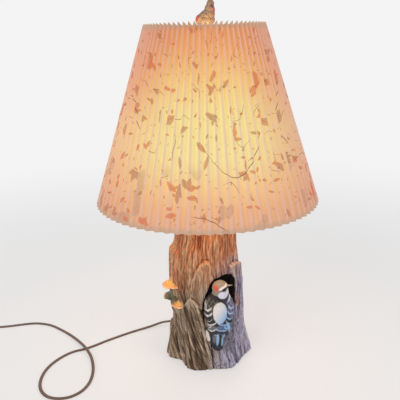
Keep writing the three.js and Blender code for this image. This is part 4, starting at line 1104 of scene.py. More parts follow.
# %% [markdown]
# The finial is a small cast bird on a stump that looks up to the right. It is built as the
# woodpecker is: a few stretched balls with one skin over them. Then the folded wings and the ridges
# of the stump are pressed in, and its foot is cut flat to sit on the hub.

# %% Finial
FINIAL_LOW = 535.8
FINIAL_BALLS = [
    ((0.6, 0, 541), (8.2, 8.6, 6.5), 0, 0),
    ((0.2, 0, 548), (6.8, 7, 7), 0, 0),
    ((2.6, 0, 556.5), (13.8, 9.8, 8.8), -14, 0),
    ((-4.8, 0, 559), (8.6, 7.8, 8.2), -30, 0),
    ((-0.8, 0, 565.4), (12.5, 7, 5.6), -40, 0),
    ((5.6, 0, 564.5), (11.2, 9.6, 9.4), -40, 0),
    ((8.4, 0, 572.6), (7.8, 8, 9), -10, 0),
    ((9.3, 0, 580), (5.9, 6.4, 6.9), 12, 0),
    ((9, 0, 586.4), (3.7, 3.6, 4.6), 0, 0),
]
parts = [ball(f"finial_part_{i}", c, h, t, s, 28) for i, (c, h, t, s) in enumerate(FINIAL_BALLS)]
only()
bpy.ops.mesh.primitive_cone_add(vertices=16, radius1=2.1 * MM, radius2=0.3 * MM, depth=9 * MM)
tip = named("finial_part_tip")
bpy.ops.object.mode_set(mode="EDIT")
bpy.ops.transform.translate(value=Vector((9, 0, 590.8)) * MM)
bpy.ops.object.mode_set(mode="OBJECT")
finial = joined("finial_bird", [*parts, tip], 0.55, 9)
print("finial skin faces", len(finial.data.polygons))

# %% Feathers, marks and seat of the finial
place = points_of(finial)
x, y, z = place.T / MM
both_sides = ease(np.abs(y), 4.5, 7)
wing = spot(place, (0.5, 560.5), (9.2, 5.4), -28, 0.1) * both_sides
feather_rows = np.abs((((x * 0.88 - z * 0.47) / 2.6) % 1) - 0.5) * 2
folds = wing * (0.9 - 0.5 * ease(feather_rows, 0.7, 1)) + 0.16 * grain(place, 420)
stump = 1 - ease(z, 544, 552)
ridges = 0.5 * np.cos(np.arctan2(y, x - 0.6) * 9 + 1.2 * np.sin(z * 0.4))
above_seat = ease(z, FINIAL_LOW, FINIAL_LOW + 1)
push_out(finial, (folds * (1 - stump) + ridges * stump) * above_seat)
RED_PLACES = [
    ((14.2, 570.6), (1.7, 4.6), 4, 0.4, 1), ((-11.4, 560.2), (2.6, 6), -34, 0.4, 1),
]
finial_marks = {
    "wing": wing * (0.5 + 0.5 * ease(feather_rows, 0.6, 1)),
    "stump": stump,
    "eye": spot(place, (11.2, 577.6), (1.8, 3), 24, 0.3) * ease(np.abs(y), 4.4, 5.4),
    "red": spots(place, RED_PLACES),
    "beak": ease(z, 585.5, 588),
}
for name, values in finial_marks.items():
    store(finial, name, values)
# A flat seat on the hub, with an inset edge as on a turned foot
only(finial)
bpy.ops.object.mode_set(mode="EDIT")
bpy.ops.mesh.select_mode(type="FACE")
bpy.ops.mesh.select_all(action="SELECT")
bpy.ops.mesh.bisect(
    plane_co=(0, 0, FINIAL_LOW * MM), plane_no=(0, 0, 1), clear_inner=True, use_fill=False,
)
bpy.ops.mesh.edge_face_add()
bpy.ops.mesh.inset(thickness=2.4 * MM)
bpy.ops.object.mode_set(mode="OBJECT")
smooth(tidy_mesh(finial), 60)
print("finial faces", len(finial.data.polygons))

# %% [markdown]
# The plug is a moulded body, wider than thick, whose neck narrows to the flat cord. A cube is
# cut into a fine block and set to size, and its neck end is drawn in. A subdivision rounds it, and
# the grip grooves are pressed into both sides of the neck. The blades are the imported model's own.

# %% Plug
PLUG_BACK = tail_end - 0.3
PLUG_SIZE = (20, 26, 10.4)
PLUG_CUTS = 11
NECK_WIDTH, NECK_HEIGHT = 0.45, 0.54
GROOVES = 9
GROOVE_DEPTH = 0.55
middle = (plug_side, PLUG_BACK - PLUG_SIZE[1] / 2, PLUG_SIZE[2] / 2)


def along_plug(shape):
    """Share of the way from the blades, at 0, to the cord, at 1."""
    return (shape[:, 1] - (PLUG_BACK - PLUG_SIZE[1])) / PLUG_SIZE[1]


only()
bpy.ops.mesh.primitive_cube_add(size=1)
plug = named("plug_moulding")
bpy.ops.object.mode_set(mode="EDIT")
bpy.ops.mesh.subdivide(number_cuts=PLUG_CUTS)
bpy.ops.transform.resize(value=Vector(PLUG_SIZE) * MM)
bpy.ops.transform.translate(value=Vector(middle) * MM)
bpy.ops.object.mode_set(mode="OBJECT")
shape = points_of(plug) / MM
neck = ease(along_plug(shape), 0.5, 1)
shape[:, 0] = plug_side + (shape[:, 0] - plug_side) * (1 - (1 - NECK_WIDTH) * neck)
shape[:, 2] = middle[2] + (shape[:, 2] - middle[2]) * (1 - (1 - NECK_HEIGHT) * neck)
move_points(plug, shape * MM)
modify(plug, "SUBSURF", levels=2, render_levels=2)
shape = points_of(plug) / MM
run = along_plug(shape)
ribbed = ease(run, 0.5, 0.56) * (1 - ease(run, 0.93, 0.97))
groove = GROOVE_DEPTH * ease(np.cos(run * 2 * math.pi * GROOVES), 0.2, 0.9) * ribbed
outwards = shape[:, 0] - plug_side
shape[:, 0] -= np.sign(outwards) * groove * ease(np.abs(outwards), 2, 3.4)
shape[:, 2] = np.maximum(shape[:, 2], 0.05)
move_points(plug, shape * MM)
smooth(tidy_mesh(plug), 45)
print("plug from y", round(float(shape[:, 1].min()), 1), "to", round(float(shape[:, 1].max()), 1))

# %% [markdown]
# A felt pad closes the underside, cut to the outline of the trunk and set in a little. Its grid
# runs out along the bottom, round the cut edge and back along the top, and its middles are filled.
# Inside the trunk the same flex runs up to the lampholder, where it splits into two wires.

# %% Felt
FELT_INSET = 3.2
# Share of the grid's rows, of the way out to the edge, and height in millimetres
FELT_EDGE = [
    (0, 0.02, 0), (0.36, 0.99, 0), (0.44, 1, 0.3), (0.5, 1, 0.75), (0.56, 1, 1.2),
    (0.64, 0.99, 1.5), (1, 0.02, 1.5),
]


def felt_points(u, v):
    angle = (u - 0.5) * 2 * math.pi
    raised = bark_relief(angle, np.zeros(len(u)))[0]
    rows, outs, heights = zip(*FELT_EDGE)
    out = (FOOT * RADIUS_TABLE[0][1] + raised - FELT_INSET) * np.interp(v, rows, outs)
    z = np.interp(v, rows, heights)
    x, y = out * np.cos(angle), out * np.sin(angle)
    fuzz = 0.12 * grain(np.stack([x, y, z], axis=1), 0.6) * ease(z, 0.1, 1.4)
    return np.stack([FOOT * LEAN_TABLE[0][1] + x, y, z + fuzz], axis=1) * MM


felt = sheet_of("felt_pad", 160, 25, felt_points)
tidy_mesh(felt)
only(felt)
bpy.ops.object.mode_set(mode="EDIT")
bpy.ops.mesh.select_all(action="DESELECT")
bpy.ops.mesh.select_mode(type="VERT")
bpy.ops.mesh.select_non_manifold()
bpy.ops.mesh.fill_holes(sides=0)
bpy.ops.mesh.select_all(action="SELECT")
bpy.ops.mesh.normals_make_consistent(inside=False)
bpy.ops.object.mode_set(mode="OBJECT")
smooth(felt, 50)
print("felt faces", len(felt.data.polygons))

# %% Inner flex and wires
INNER_ROUTE = [
    at_exit(90.6), at_exit(66.9), at_exit(57.9), (-30.3, 31.1, 20.9), (-17.8, 20, 41.8),
    (-13.3, 16.3, 86.9), (-8.9, 14.1, 141.8), (-4, 8.1, 196.8), (0, 1.5, 229.7),
    (0, 0.2, 241.5), (0, 0, 252.5), (0, 0, 263.5), (0, 0, 282.5),
]
inner_line = curve_through(INNER_ROUTE, 6) * MM
ASKEW = (0.7071, 0.7071, 0)


def circle(radius, sides=12):
    turns = [2 * math.pi * i / sides for i in range(sides)]
    return [(radius * MM * math.cos(turn), radius * MM * math.sin(turn)) for turn in turns]


inner_flex = tube("inner_flex", inner_line, [(z, x) for x, z in twin], ASKEW)
wires = []
for side, name in ((1, "wire_live_side"), (-1, "wire_return_side")):
    run = [(1.3, 282.8), (2.1, 284.3), (7.1, 285.3), (10.4, 286.3), (10.4, 289)]
    line = curve_through([(x * side, 0, z) for x, z in run], 6) * MM
    wires.append(tube(name, line, circle(0.95), ASKEW))
inner_length = np.linalg.norm(np.diff(inner_line, axis=0), axis=1).sum()
print("inner flex length", round(float(inner_length), 3), "m")

# %% [markdown]
# The brass parts, the bulb and the knob are stock lamp parts. Sheet parts such as the socket shell
# and cap are spun from a disc, so each is one closed profile turned about its axis, with the edges
# broken a little as a spinner leaves them. The check ring is turned too. A hole for the switch
# shaft is cut in the shell with a boolean.


# %% Shell, cap and check ring
def softer_edges(piece, edge, segments, angle):
    """Rounds the edges that are sharper than an angle."""
    return modify(
        piece, "BEVEL", width=edge * MM, segments=segments, limit_method="ANGLE",
        angle_limit=math.radians(angle),
    )


def turned(name, profile, middle=(0, 0), columns=64, edge=0.15):
    """A closed profile of (radius, height) points turned about an upright axis."""
    profile = np.array([*profile, profile[0]], float)

    def place(u, v):
        at = np.linspace(0, 1, len(profile))
        radius, height = (np.interp(v, at, profile[:, i]) for i in (0, 1))
        x = middle[0] + radius * np.cos(2 * math.pi * u)
        return np.stack([x, middle[1] + radius * np.sin(2 * math.pi * u), height], axis=1) * MM

    piece = tidy_mesh(sheet_of(name, columns, len(profile) - 1, place))
    if edge:
        softer_edges(piece, edge, 2, 50)
    return smooth(piece, 40)


shell = turned("socket_shell_brass", [
    (15.6, 287.7), (16.2, 287.7), (16.2, 309), (16.45, 309.5), (16.6, 310.2), (16.45, 310.9),
    (16.2, 311.4), (16.2, 338.6), (16.5, 339.3), (16.6, 340), (16.3, 340.7), (15.6, 340.7),
])
only()
bpy.ops.mesh.primitive_cylinder_add(vertices=32, radius=2.3 * MM, depth=8 * MM)
cutter = named("shaft_hole")
bpy.ops.object.mode_set(mode="EDIT")
bpy.ops.transform.rotate(value=math.radians(90), orient_axis="X", center_override=(0, 0, 0))
bpy.ops.transform.translate(value=Vector((0, -16, 302)) * MM)
bpy.ops.object.mode_set(mode="OBJECT")
modify(shell, "BOOLEAN", object=cutter, operation="DIFFERENCE", solver="EXACT")
bpy.data.objects.remove(cutter)
smooth(shell, 40)
socket_cap = turned("socket_cap_brass", [
    (5.2, 272.3), (7.6, 272.3), (7.6, 278.4), (8, 279.4), (9.6, 280.7), (12.4, 282.8),
    (14.8, 284.5), (16.5, 286), (17.3, 288), (17.3, 294.3), (16.5, 294.3), (16.5, 288.4),
    (15.8, 286.9), (13.8, 285.2), (11.4, 283.5), (8.4, 281.3), (6.2, 279.8), (5.2, 278.9),
])
check_plate = turned("check_ring_brass", [
    (5.2, 263.8), (20, 263.8), (20, 264.5), (19.5, 265.3), (18.4, 265.9), (16.6, 266.4),
    (14, 266.6), (5.2, 266.6),
])
print("turned:", [piece.name for piece in (shell, socket_cap, check_plate)])

# %% [markdown]
# The bulb's globe is blown glass. Its outer profile is a smooth curve through a few points, and its
# inner one is the same curve brought in by the wall. The sleeves and the stud of the harp are
# turned brass as well. The stud's thread is a row of small steps, which is how a fine thread reads
# from outside, and it costs far less than a true helix.

# %% Globe, sleeves and stud
GLASS_WALL = 0.9
GLASS_SHOULDER = 400
glass = [
    (11.9, 325.7), (11.9, 329.8), (11.9, 333.8), (13.6, 341), (16.5, 348.8), (21.6, 360.5),
    (26.4, 372.3), (29.2, 380), (30, 387.2), (29.2, 395), (26.2, 402.2), (21.2, 408.4),
    (15, 413.2), (7.8, 416.2), (0, 417.2),
]
outer = curve_through(glass, 3)
inner = [(max(r - GLASS_WALL, 0), z - GLASS_WALL * (z > GLASS_SHOULDER)) for r, z in outer[::-1]]
globe = turned("bulb_globe_glass", [*outer, *inner], edge=0)
HARP_POST = 31
SLEEVE = [
    (2.2, 268.8), (4.4, 268.8), (4.7, 269.2), (4.7, 270.4), (4.3, 271.1), (3.9, 271.7),
    (3.9, 283.8), (3.7, 284.5), (3.3, 284.8), (2.2, 284.8),
]
sleeves = [
    turned("harp_sleeve_left", SLEEVE, (-HARP_POST, 0), 32, 0.1),
    turned("harp_sleeve_right", SLEEVE, (HARP_POST, 0), 32, 0.1),
]
THREAD_STEPS = 27
thread = [(3.1 if i % 2 else 2.85, 534.4 + i * 0.45) for i in range(THREAD_STEPS)]
stud = turned("harp_stud_brass", [
    (0, 531.6), (7.3, 531.6), (7.5, 531.9), (7.5, 533.3), (7.3, 533.6), (3.1, 533.6),
    *thread, (2.6, 546.6), (0, 546.6),
], columns=40, edge=0)
print("globe is", round(float(2 * outer[:, 0].max()), 1), "mm wide")

# %% [markdown]
# The harp, the two rings and the spider are round rod, bent along a line. The harp reuses the tube
# of the cord. Each ring is butt welded, which leaves one thicker spot. The spider is a turned hub
# with three arms joined to it, and the arms drop into the shade before they rise to the top ring.

# %% Harp, rings and spider
BOW = [
    (-31, 278.8), (-31, 290.3), (-31.1, 301.7), (-32.1, 313.1), (-32.6, 324.5), (-32.9, 336),
    (-34.1, 347.4), (-37.9, 358.1), (-44.1, 367.8), (-50.1, 377.6), (-53.6, 388.4),
    (-55.1, 399.8), (-55.5, 411.1), (-55.3, 422.7), (-54.3, 434.1), (-52.5, 445.4),
    (-49.9, 456.6), (-46.6, 467.5), (-42.6, 478.3), (-37.9, 488.7), (-32.3, 498.7),
    (-25.9, 508.2), (-18.6, 517.2), (-10.4, 524.9), (0, 529.1),
]
BOW_ROD, RING_ROD, ARM_ROD = 1.9, 1.55, 1.6
loop = [(x, 0, z) for x, z in BOW] + [(-x, 0, z) for x, z in BOW[-2::-1]]
bow = tube("harp_bow_brass", curve_through(loop, 3) * MM, circle(BOW_ROD, 14), (0, 1, 0))
# Name, radius and height of each ring
RINGS = [("shade_ring_top", 82.3, 547), ("shade_ring_bottom", 169.7, 288)]
rings = []
for name, middle, height in RINGS:
    only()
    bpy.ops.mesh.primitive_torus_add(
        major_segments=120, minor_segments=12, major_radius=middle * MM,
        minor_radius=RING_ROD * MM,
    )
    ring = named(name)
    shape = points_of(ring)
    bearing = np.arctan2(shape[:, 1], shape[:, 0])
    core = np.stack([np.cos(bearing), np.sin(bearing), 0 * bearing], axis=1) * middle * MM
    weld = 0.18 * np.exp(-((np.abs(bearing - 1.2) * middle / 2.4) ** 2))
    lifted = np.array((0, 0, height * MM))
    move_points(ring, core + (shape - core) * (1 + weld[:, None]) + lifted)
    rings.append(smooth(ring))
HUB = [(3.5, 533.9), (13.6, 533.9), (14, 534.3), (14, 535.1), (13.6, 535.5), (3.5, 535.5)]
ARM = [
    (10.8, 533.9), (23.3, 533.9), (41.9, 533.4), (54.5, 532.9), (60.5, 533.3), (66.5, 536),
    (70.6, 540), (74, 543.7), (77, 546), (80.2, 547),
]
hub = turned("shade_spider_brass", HUB, columns=48, edge=0.1)
arms = []
for i in range(3):
    bearing = math.radians(90 + 120 * i)
    run = [(out * math.cos(bearing), out * math.sin(bearing), z) for out, z in ARM]
    arms.append(tube(f"spider_arm_{i}", curve_through(run, 4) * MM, circle(ARM_ROD)))
only(hub)
for arm in arms:
    arm.select_set(True)
bpy.ops.object.join()
print("rod parts:", [piece.name for piece in (bow, *rings, hub)])

# %% [markdown]
# The saddle of the harp, the switch knob and the cord's bushing have the right shape in the packed
# model, but sharp edges. A bent or moulded edge is never sharp and catches the light, so a copy of
# each gets a small bevel.


# %% Saddle, knob and bushing
def softened(name, node, edge):
    """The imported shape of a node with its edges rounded."""
    piece = bpy.data.objects.new(name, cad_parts[node].data.copy())
    piece.data.name = name
    bpy.context.scene.collection.objects.link(piece)
    return smooth(softer_edges(tidy_mesh(piece, 1e-5), edge, 3, 40), 40)


saddle = softened("harp_saddle_brass", "harp_saddle", 0.4)
knob = softened("switch_knob_moulding", "switch_knob", 0.5)
bushing = softened("cord_bushing_moulding", "cord_bushing", 0.4)
print("softened:", {piece.name: len(piece.data.polygons) for piece in (saddle, knob, bushing)})

# %% [markdown]
# The bark is cast resin with a painted finish, a greyer beige low down that turns lilac on the
# right. Near the shade it is painted warm orange brown as painted light, where the bulb lights it.
# A painter would wash it dark, let the wash settle in the furrows and dry brush the crests. The
# same is done here. The furrow number that shaped the bark darkens it, for the wash and as painted
# shade, and streaks run along the furrows. Crests get a pale tone for the dry brushing and as
# painted highlights, and plate rims and thin lit edges get painted highlights.

# %% Streaks of the bark
bark = Finish("bark", Roughness=0.82, Specular_IOR_Level=0.3)
where = bark.place()
side, depth, height = bark.parts(where)
towards = depth * -1
along = bark.attribute("flow", "Vector")
cut = bark.attribute("furrow")
calm = bark.attribute("calm")
rim = bark.attribute("rim")
sunk = bark.attribute("sunk")
patches = bark.noise(where, 26, 3, 0.6)
cloudy = patches - 0.5
narrow = bark.drawn(along, (290, 290, 30))
wide = bark.drawn(along, (92, 92, 10), 3, 0.55)
fibre = bark.step(bark.drawn(along, (420, 420, 46)), 0.36, 0.64)
flecks = bark.drawn(along, (620, 620, 120), 3, 0.7)
dark_streaks = (bark.vein(narrow, 0.5, 0.0, 0.07) * 0.6).most(bark.vein(wide, 0.5, 0.03, 0.075))
pale_streaks = bark.vein(bark.drawn(along, (150, 150, 20)), 0.45, 0.008, 0.04) * (1 - dark_streaks)
lit_edges = bark.band(wide, (0.575, 0.6), (0.64, 0.69))
lit_edges = lit_edges.most(bark.band(wide, (0.31, 0.35), (0.39, 0.42)) * 0.8)
# Painted highlights: the thin lit edges are laid in with the pale streaks
pale_streaks = pale_streaks.most(lit_edges)
rightward = bark.step(side + cloudy * 0.03, -0.012, 0.036)
# Painted light: the share of the upper bark that the bulb lights, painted warm orange brown
bulb_lit_share = bark.step(height + cloudy * 0.05 - side * 0.35, 0.112, 0.205)
slab_shade = rightward * bark.step(height, 0.07, 0.12) * (1 - bulb_lit_share)
print("streaks of the bark use", len(bark.tree.nodes), "nodes")

# %% Tones of the bark
# Lit crest to dark furrow, as screen colours at five stops
BARK_STOPS = (0.0, 0.2, 0.4, 0.62, 0.85)
# The warm ramp is painted light, the bark as the bulb lights it
WARM = [(248, 206, 162), (234, 160, 114), (208, 130, 90), (124, 68, 44), (52, 28, 20)]
COOL = [(226, 206, 180), (176, 150, 122), (122, 98, 76), (64, 50, 40), (26, 20, 18)]
LILAC = [(236, 234, 250), (204, 200, 228), (160, 154, 184), (78, 72, 92), (30, 27, 36)]
# Furrows are darker, for the wash and as painted shade; plate rims are lighter as painted highlights
shade_of = cut * 0.5 + slab_shade * 0.2 + dark_streaks * 0.3 - rim * 0.2 - 0.1
shade_of = shade_of + (fibre - 0.5) * 0.24 + cloudy * 0.25
warm, cool, lilac = (
    bark.ramp(shade_of, *zip(BARK_STOPS, tones)) for tones in (WARM, COOL, LILAC)
)
lower = bark.mix(rightward * bark.step(towards, -0.03, 0.02), cool, lilac)
plate = bark.mix(bulb_lit_share, colour(104, 88, 88), colour(202, 134, 98))
pale_low = bark.mix(rightward, colour(222, 204, 180), colour(226, 220, 240))
pale = bark.mix(bulb_lit_share, pale_low, colour(250, 208, 164))
# Pale crests: dry brushing, and painted highlights from the lit edges
crest = bark.step(flecks - cut * 0.5 - dark_streaks * 0.2, 0.5, 0.62).most(pale_streaks)
tone = bark.coats(
    bark.mix(bulb_lit_share, lower, warm),
    (calm * (1 - cut) * 0.45, plate),
    (crest * (1 - cut * 0.6) * 0.62, pale),
    # painted highlights along the raised rims of the plates
    (rim * (0.2 + 0.6 * fibre), pale),
)
print("three ramps of bark tones at", BARK_STOPS)

# %% [markdown]
# Two places on the cast stand out and are painted on top: pale scales beside the tail, which are
# the cells of a Voronoi pattern, and a torn orange edge beside the hollow. Each is kept to its
# place by soft bands in side, height and depth. The back of the hollow is painted near black, as
# painted shadow.

# %% Scales, torn edge and hollow
scale_map = bark.stretched(where, (190, 190, 130))
settings = {"feature": "DISTANCE_TO_EDGE"}
scales = bark.node("ShaderNodeTexVoronoi", settings, {"Vector": scale_map, "Scale": 1})
gap = 1 - bark.step(scales, 0.02, 0.13)
beside = bark.band(side, (0.021, 0.027), (0.038, 0.046)) * bark.step(towards, 0.03, 0.045)
beside = beside * bark.band(height, (0.02, 0.034), (0.088, 0.1), cloudy * 0.03)
scaly = bark.mix(bark.step(scales, 0.22, 0.42), colour(136, 130, 152), colour(66, 60, 76))
scaly = bark.mix(gap * (0.4 + fibre * 0.6), scaly, colour(222, 220, 234))
torn = bark.band(side, (0.038, 0.041), (0.045, 0.048), (fibre - 0.5) * 0.008)
torn = torn * bark.band(height, (0.102, 0.112), (0.124, 0.138), (fibre - 0.5) * 0.03)
torn = torn * bark.step(towards, 0.03, 0.036)
slivers = bark.step(bark.drawn(along, (700, 700, 60), 2, 0.55), 0.44, 0.56)
tone = bark.coats(
    tone,
    (beside * 0.8, scaly),
    (torn * 0.9, bark.mix(slivers, colour(150, 84, 64), colour(246, 190, 158))),
    # Painted shadow: the back of the hollow in near black
    (sunk * bark.step(depth, -0.06, -0.045), colour(20, 13, 13)),
)
raised = fibre * 0.3 + flecks * 0.4 + pale_streaks * 0.4 - dark_streaks - gap * beside * 0.7
bark.feed("Base Color", tone)
bark.feed("Roughness", 0.72 + cut * 0.2)
bark.bump(raised, 0.0026)
painted(trunk, bark)
print("bark finish uses", len(bark.tree.nodes), "nodes")

# %% [markdown]
# The feathers are painted from the bottom up: black with grey strands first, then each mark that
# was stored on the points, with the white near the end. An image could hold the marks too, but it
# would need a flat map of the bird, and marks on the points need none.

# %% Feather finish
feathers = Finish("feathers", Roughness=0.55)
where = feathers.place()
side, depth, height = feathers.parts(where)
strands = feathers.drawn(where, (900, 900, 220))
ripples = feathers.drawn(where, (330, 330, 620), 2, 0.55)
on_bird = {name: feathers.attribute(name) for name in bird_marks}
tips = on_bird["tips"]
olive = feathers.mix(strands, colour(108, 100, 88), colour(182, 176, 160))
mantle = feathers.mix(tips * 0.8, colour(58, 54, 44), colour(150, 140, 118))
red = feathers.mix(strands, colour(190, 72, 48), colour(224, 116, 84))
lilac = feathers.mix(tips, colour(112, 110, 144), colour(170, 168, 204))
blue = feathers.mix(strands, colour(96, 154, 214), colour(190, 226, 250))
grey_blue = feathers.step(side, 0.008, 0.022)
grey_blue = feathers.mix(grey_blue, colour(140, 146, 160), colour(112, 142, 190))
cool = feathers.step(side - height * 0.6, -0.062, -0.03) * feathers.step(side, 0.002, 0.016)
cheek = feathers.band(height, (0.136, 0.14), (0.15, 0.156))
white = feathers.coats(
    feathers.mix(cool, colour(246, 242, 236), colour(158, 204, 250)),
    (cheek, colour(236, 238, 255)),
    (feathers.step(ripples, 0.5, 0.7) * 0.35, colour(184, 180, 186)),
)
tone = feathers.coats(
    feathers.mix(strands, colour(10, 10, 13), colour(40, 38, 43)),
    (tips * 0.22, colour(118, 124, 146)),
    (on_bird["mantle"] * 0.75, mantle),
    (on_bird["crown"], olive),
    (on_bird["collar"], colour(30, 27, 26)),
    (on_bird["red"], red),
    (on_bird["lilac"] * 0.62, lilac),
    (on_bird["pale"] * (0.35 + 0.4 * strands), grey_blue),
    (on_bird["white"] * 0.94, white),
    # painted highlights: the blue sheen on the tail
    (on_bird["blue"] * 0.9, blue),
    (on_bird["stripe"], colour(26, 24, 28)),
)
feathers.feed("Base Color", tone)
feathers.feed("Roughness", 0.45 + strands * 0.25)
feathers.bump(strands + ripples, 0.0008, 0.7)
painted(bird, feathers)
print("feather finish uses", len(feathers.tree.nodes), "nodes")

# %% Beak and eye finishes
horn = Finish("horn", Roughness=0.4)
where = horn.place()
horn.feed("Base Color", horn.mix(horn.noise(where, 400), colour(112, 102, 90), colour(176, 166, 150)))
painted(beak, horn)
bead = Finish("eye_bead", Roughness=0.15, Coat_Weight=0.6)
bead.feed("Base Color", bead.mix(bead.noise(bead.place(), 500), colour(8, 8, 10), colour(22, 20, 22)))
painted(eye, bead)
print("beak and eye painted")

# %% [markdown]
# A bracket fungus is pale at its brim and browner higher up, in bands that follow its growth. The
# stored rise of each cap drives one ramp, and a little noise breaks the bands. The middle cap lies
# under the upper one, so all but its left tip is painted dark grey green, darker towards the front,
# as painted shadow. The left tip is a plain light orange.

# %% Fungus finish
for cap in caps:
    fungus = Finish(cap.name, Roughness=0.6)
    where = fungus.place()
    side, depth, height = fungus.parts(where)
    mottle = fungus.noise(where, 160, 4, 0.6)
    tone = fungus.ramp(
        fungus.attribute("rise") + (mottle - 0.5) * 0.35,
        (0.0, (250, 220, 180)), (0.1, (244, 172, 112)), (0.3, (238, 190, 108)),
        (0.55, (210, 154, 110)), (1.0, (226, 182, 154)),
    )
    # Painted shadow of the upper cap, dark grey green, over the middle cap
    if cap.name == "fungus_cap_middle":
        shadowed_tone = fungus.ramp(
            mottle + (depth * -1 - 0.03) * -12,
            (0.2, (54, 44, 34)), (0.5, (104, 106, 84)), (0.8, (150, 150, 126)),
        )
        in_shadow = fungus.step(side + (mottle - 0.5) * 0.01, -0.0765, -0.0715)
        tone = fungus.mix(in_shadow, colour(226, 184, 124), shadowed_tone)
    fungus.feed("Base Color", tone)
    fungus.bump(mottle, 0.0014, 0.6)
    painted(cap, fungus)
print("caps painted:", len(caps))

# %% [markdown]
# The shade glows: the bulb behind it makes the fabric brightest and yellowest at its own height,
# and more orange towards the rims and the sides. Part of the colour is therefore given off and
# part only reflects the room. Dried leaves, petals and thin stems are laid into the fabric at
# random. Each layer scatters one shape in every cell of a Voronoi pattern over the flat strip,
# turned and sized by the cell's own random colour, and a share of the cells stays empty.

# %% Helpers for pressed leaves
LEAF_RAGGED = 0.9


def scattered(finish, flat, cell, shift):
    """Place in a cell, turned at random, and three random numbers of the cell."""
    scale = (1 / cell, 1 / cell, 1)
    inputs = {"Vector": flat, "Scale": scale, "Location": (shift, shift * 0.7, 0)}
    cells = finish.node("ShaderNodeMapping", inputs=inputs)
    settings = {"voronoi_dimensions": "2D"}
    middle = finish.node("ShaderNodeTexVoronoi", settings, {"Vector": cells, "Scale": 1}, "Position")
    chance = Value(finish, middle.socket.node.outputs["Color"])
    local = finish.node("ShaderNodeVectorMath", {"operation": "SUBTRACT"}, [cells, middle])
    first, second, third = finish.parts(chance)
    angle = first * (2 * math.pi)
    cosine, sine = angle.math("COSINE"), angle.math("SINE")
    x, y, _ = finish.parts(local)
    return x * cosine + y * sine, y * cosine - x * sine, first, second, third


def leaves(finish, flat, cell, shift, long, wide, share, turns=(0,)):
    """Pointed leaves with a ragged outline and a rib, one or a few on each stalk."""
    x, y, _, second, third = scattered(finish, flat, cell, shift)
    ragged = finish.noise(flat, 190, 3, 0.6) - 0.5
    size = 0.55 + 0.75 * third
    base = long if len(turns) > 1 else 0
    whole = None
    for turn_by in turns:
        c, s = math.cos(turn_by), math.sin(turn_by)
        a = (x * c + y * s - size * base) / (long * size)
        b = (y * c - x * s) / (wide * size) + ragged * LEAF_RAGGED
        rib = 1 - finish.step(abs(b), 0.02, 0.13)
        body = (1 - finish.step(abs(b) + a * a, 0.78, 0.95)) * (0.74 + 0.26 * rib)
        whole = body if whole is None else whole.most(body)
    return whole * (share - second).math("GREATER_THAN", 0)


def stems(finish, flat, cell, shift, long, thick, bend, share):
    """Thin curved stems."""
    along, across, first, second, third = scattered(finish, flat, cell, shift)
    a = along / long
    curve = across - bend * (third - 0.5) * a * a - 0.03 * (a * 4 + first * 6).math("SINE")
    line = 1 - finish.step(abs(curve), thick * 0.5, thick)
    ends = 1 - finish.step(abs(a), 0.9, 1)
    return line * ends * (share - second).math("GREATER_THAN", 0)


print("helpers for leaves and stems ready")

# %% Layers of pressed leaves
FABRIC_LONG = 1.30
FABRIC_TALL = 0.284
shade_finish = Finish("shade_fabric", Roughness=0.75, Emission_Strength=1.0, Specular_IOR_Level=0.2)
strip = shade_finish.node("ShaderNodeUVMap", {"uv_map": "UVMap"})
flat = shade_finish.stretched(strip, (FABRIC_LONG, FABRIC_TALL, 1))
big = leaves(shade_finish, flat, 0.066, 3.1, 0.2, 0.085, 0.62)
trefoils = leaves(shade_finish, flat, 0.075, 44.7, 0.105, 0.06, 0.5, (-0.95, 0, 0.95))
mid = leaves(shade_finish, flat, 0.036, 9.7, 0.28, 0.11, 0.58)
small = leaves(shade_finish, flat, 0.016, 17.3, 0.3, 0.14, 0.42)
petals = leaves(shade_finish, flat, 0.056, 31.3, 0.2, 0.2, 0.6, (-0.6, 0.6))
long_stems = stems(shade_finish, flat, 0.17, 5.9, 0.42, 0.0052, 1.1, 0.62)
short_stems = stems(shade_finish, flat, 0.042, 12.1, 0.4, 0.012, 0.9, 0.4)
specks = stems(shade_finish, flat, 0.012, 21.7, 0.2, 0.03, 0.2, 0.36)
plants = big.most(trefoils).most(mid).most(small)
lines = long_stems.most(short_stems).most(specks)
print("pressed plants use", len(shade_finish.tree.nodes), "nodes")

# %% [markdown]
# Under the plants lies the glow, which is painted light. Two ramps over the height give its colours
# in the middle of the shade and at its sides, where it is painted darker and more orange. Painted
# light and shade on the folds, brighter in the inner folds and paler on the outer ones, the clouds
# of the paper and a paler band at both rims, painted where less light comes through, are laid over
# them, and then the plants. The mix feeds both the base colour and the emission, each darkened by
# its own part, because a shade that only gave off light would look flat.

# %% Glow of the shade
side, depth, height = shade_finish.parts(shade_finish.place())
fold = shade_finish.attribute("fold")
sideways = abs(side) / (side * side + depth * depth).math("SQRT")
up_shade = (height - SHADE_LOW * MM) / ((SHADE_HIGH - SHADE_LOW) * MM)
facing = shade_finish.ramp(
    up_shade,
    (0.0, (226, 176, 146)), (0.1, (244, 190, 146)), (0.2, (254, 216, 156)), (0.34, (255, 246, 176)),
    (0.56, (255, 246, 172)), (0.72, (255, 224, 148)), (0.86, (246, 188, 128)), (1.0, (232, 160, 114)),
)
turned_away = shade_finish.ramp(
    up_shade,
    (0.0, (214, 166, 136)), (0.22, (244, 186, 138)), (0.45, (255, 208, 146)),
    (0.7, (240, 156, 106)), (1.0, (216, 144, 108)),
)
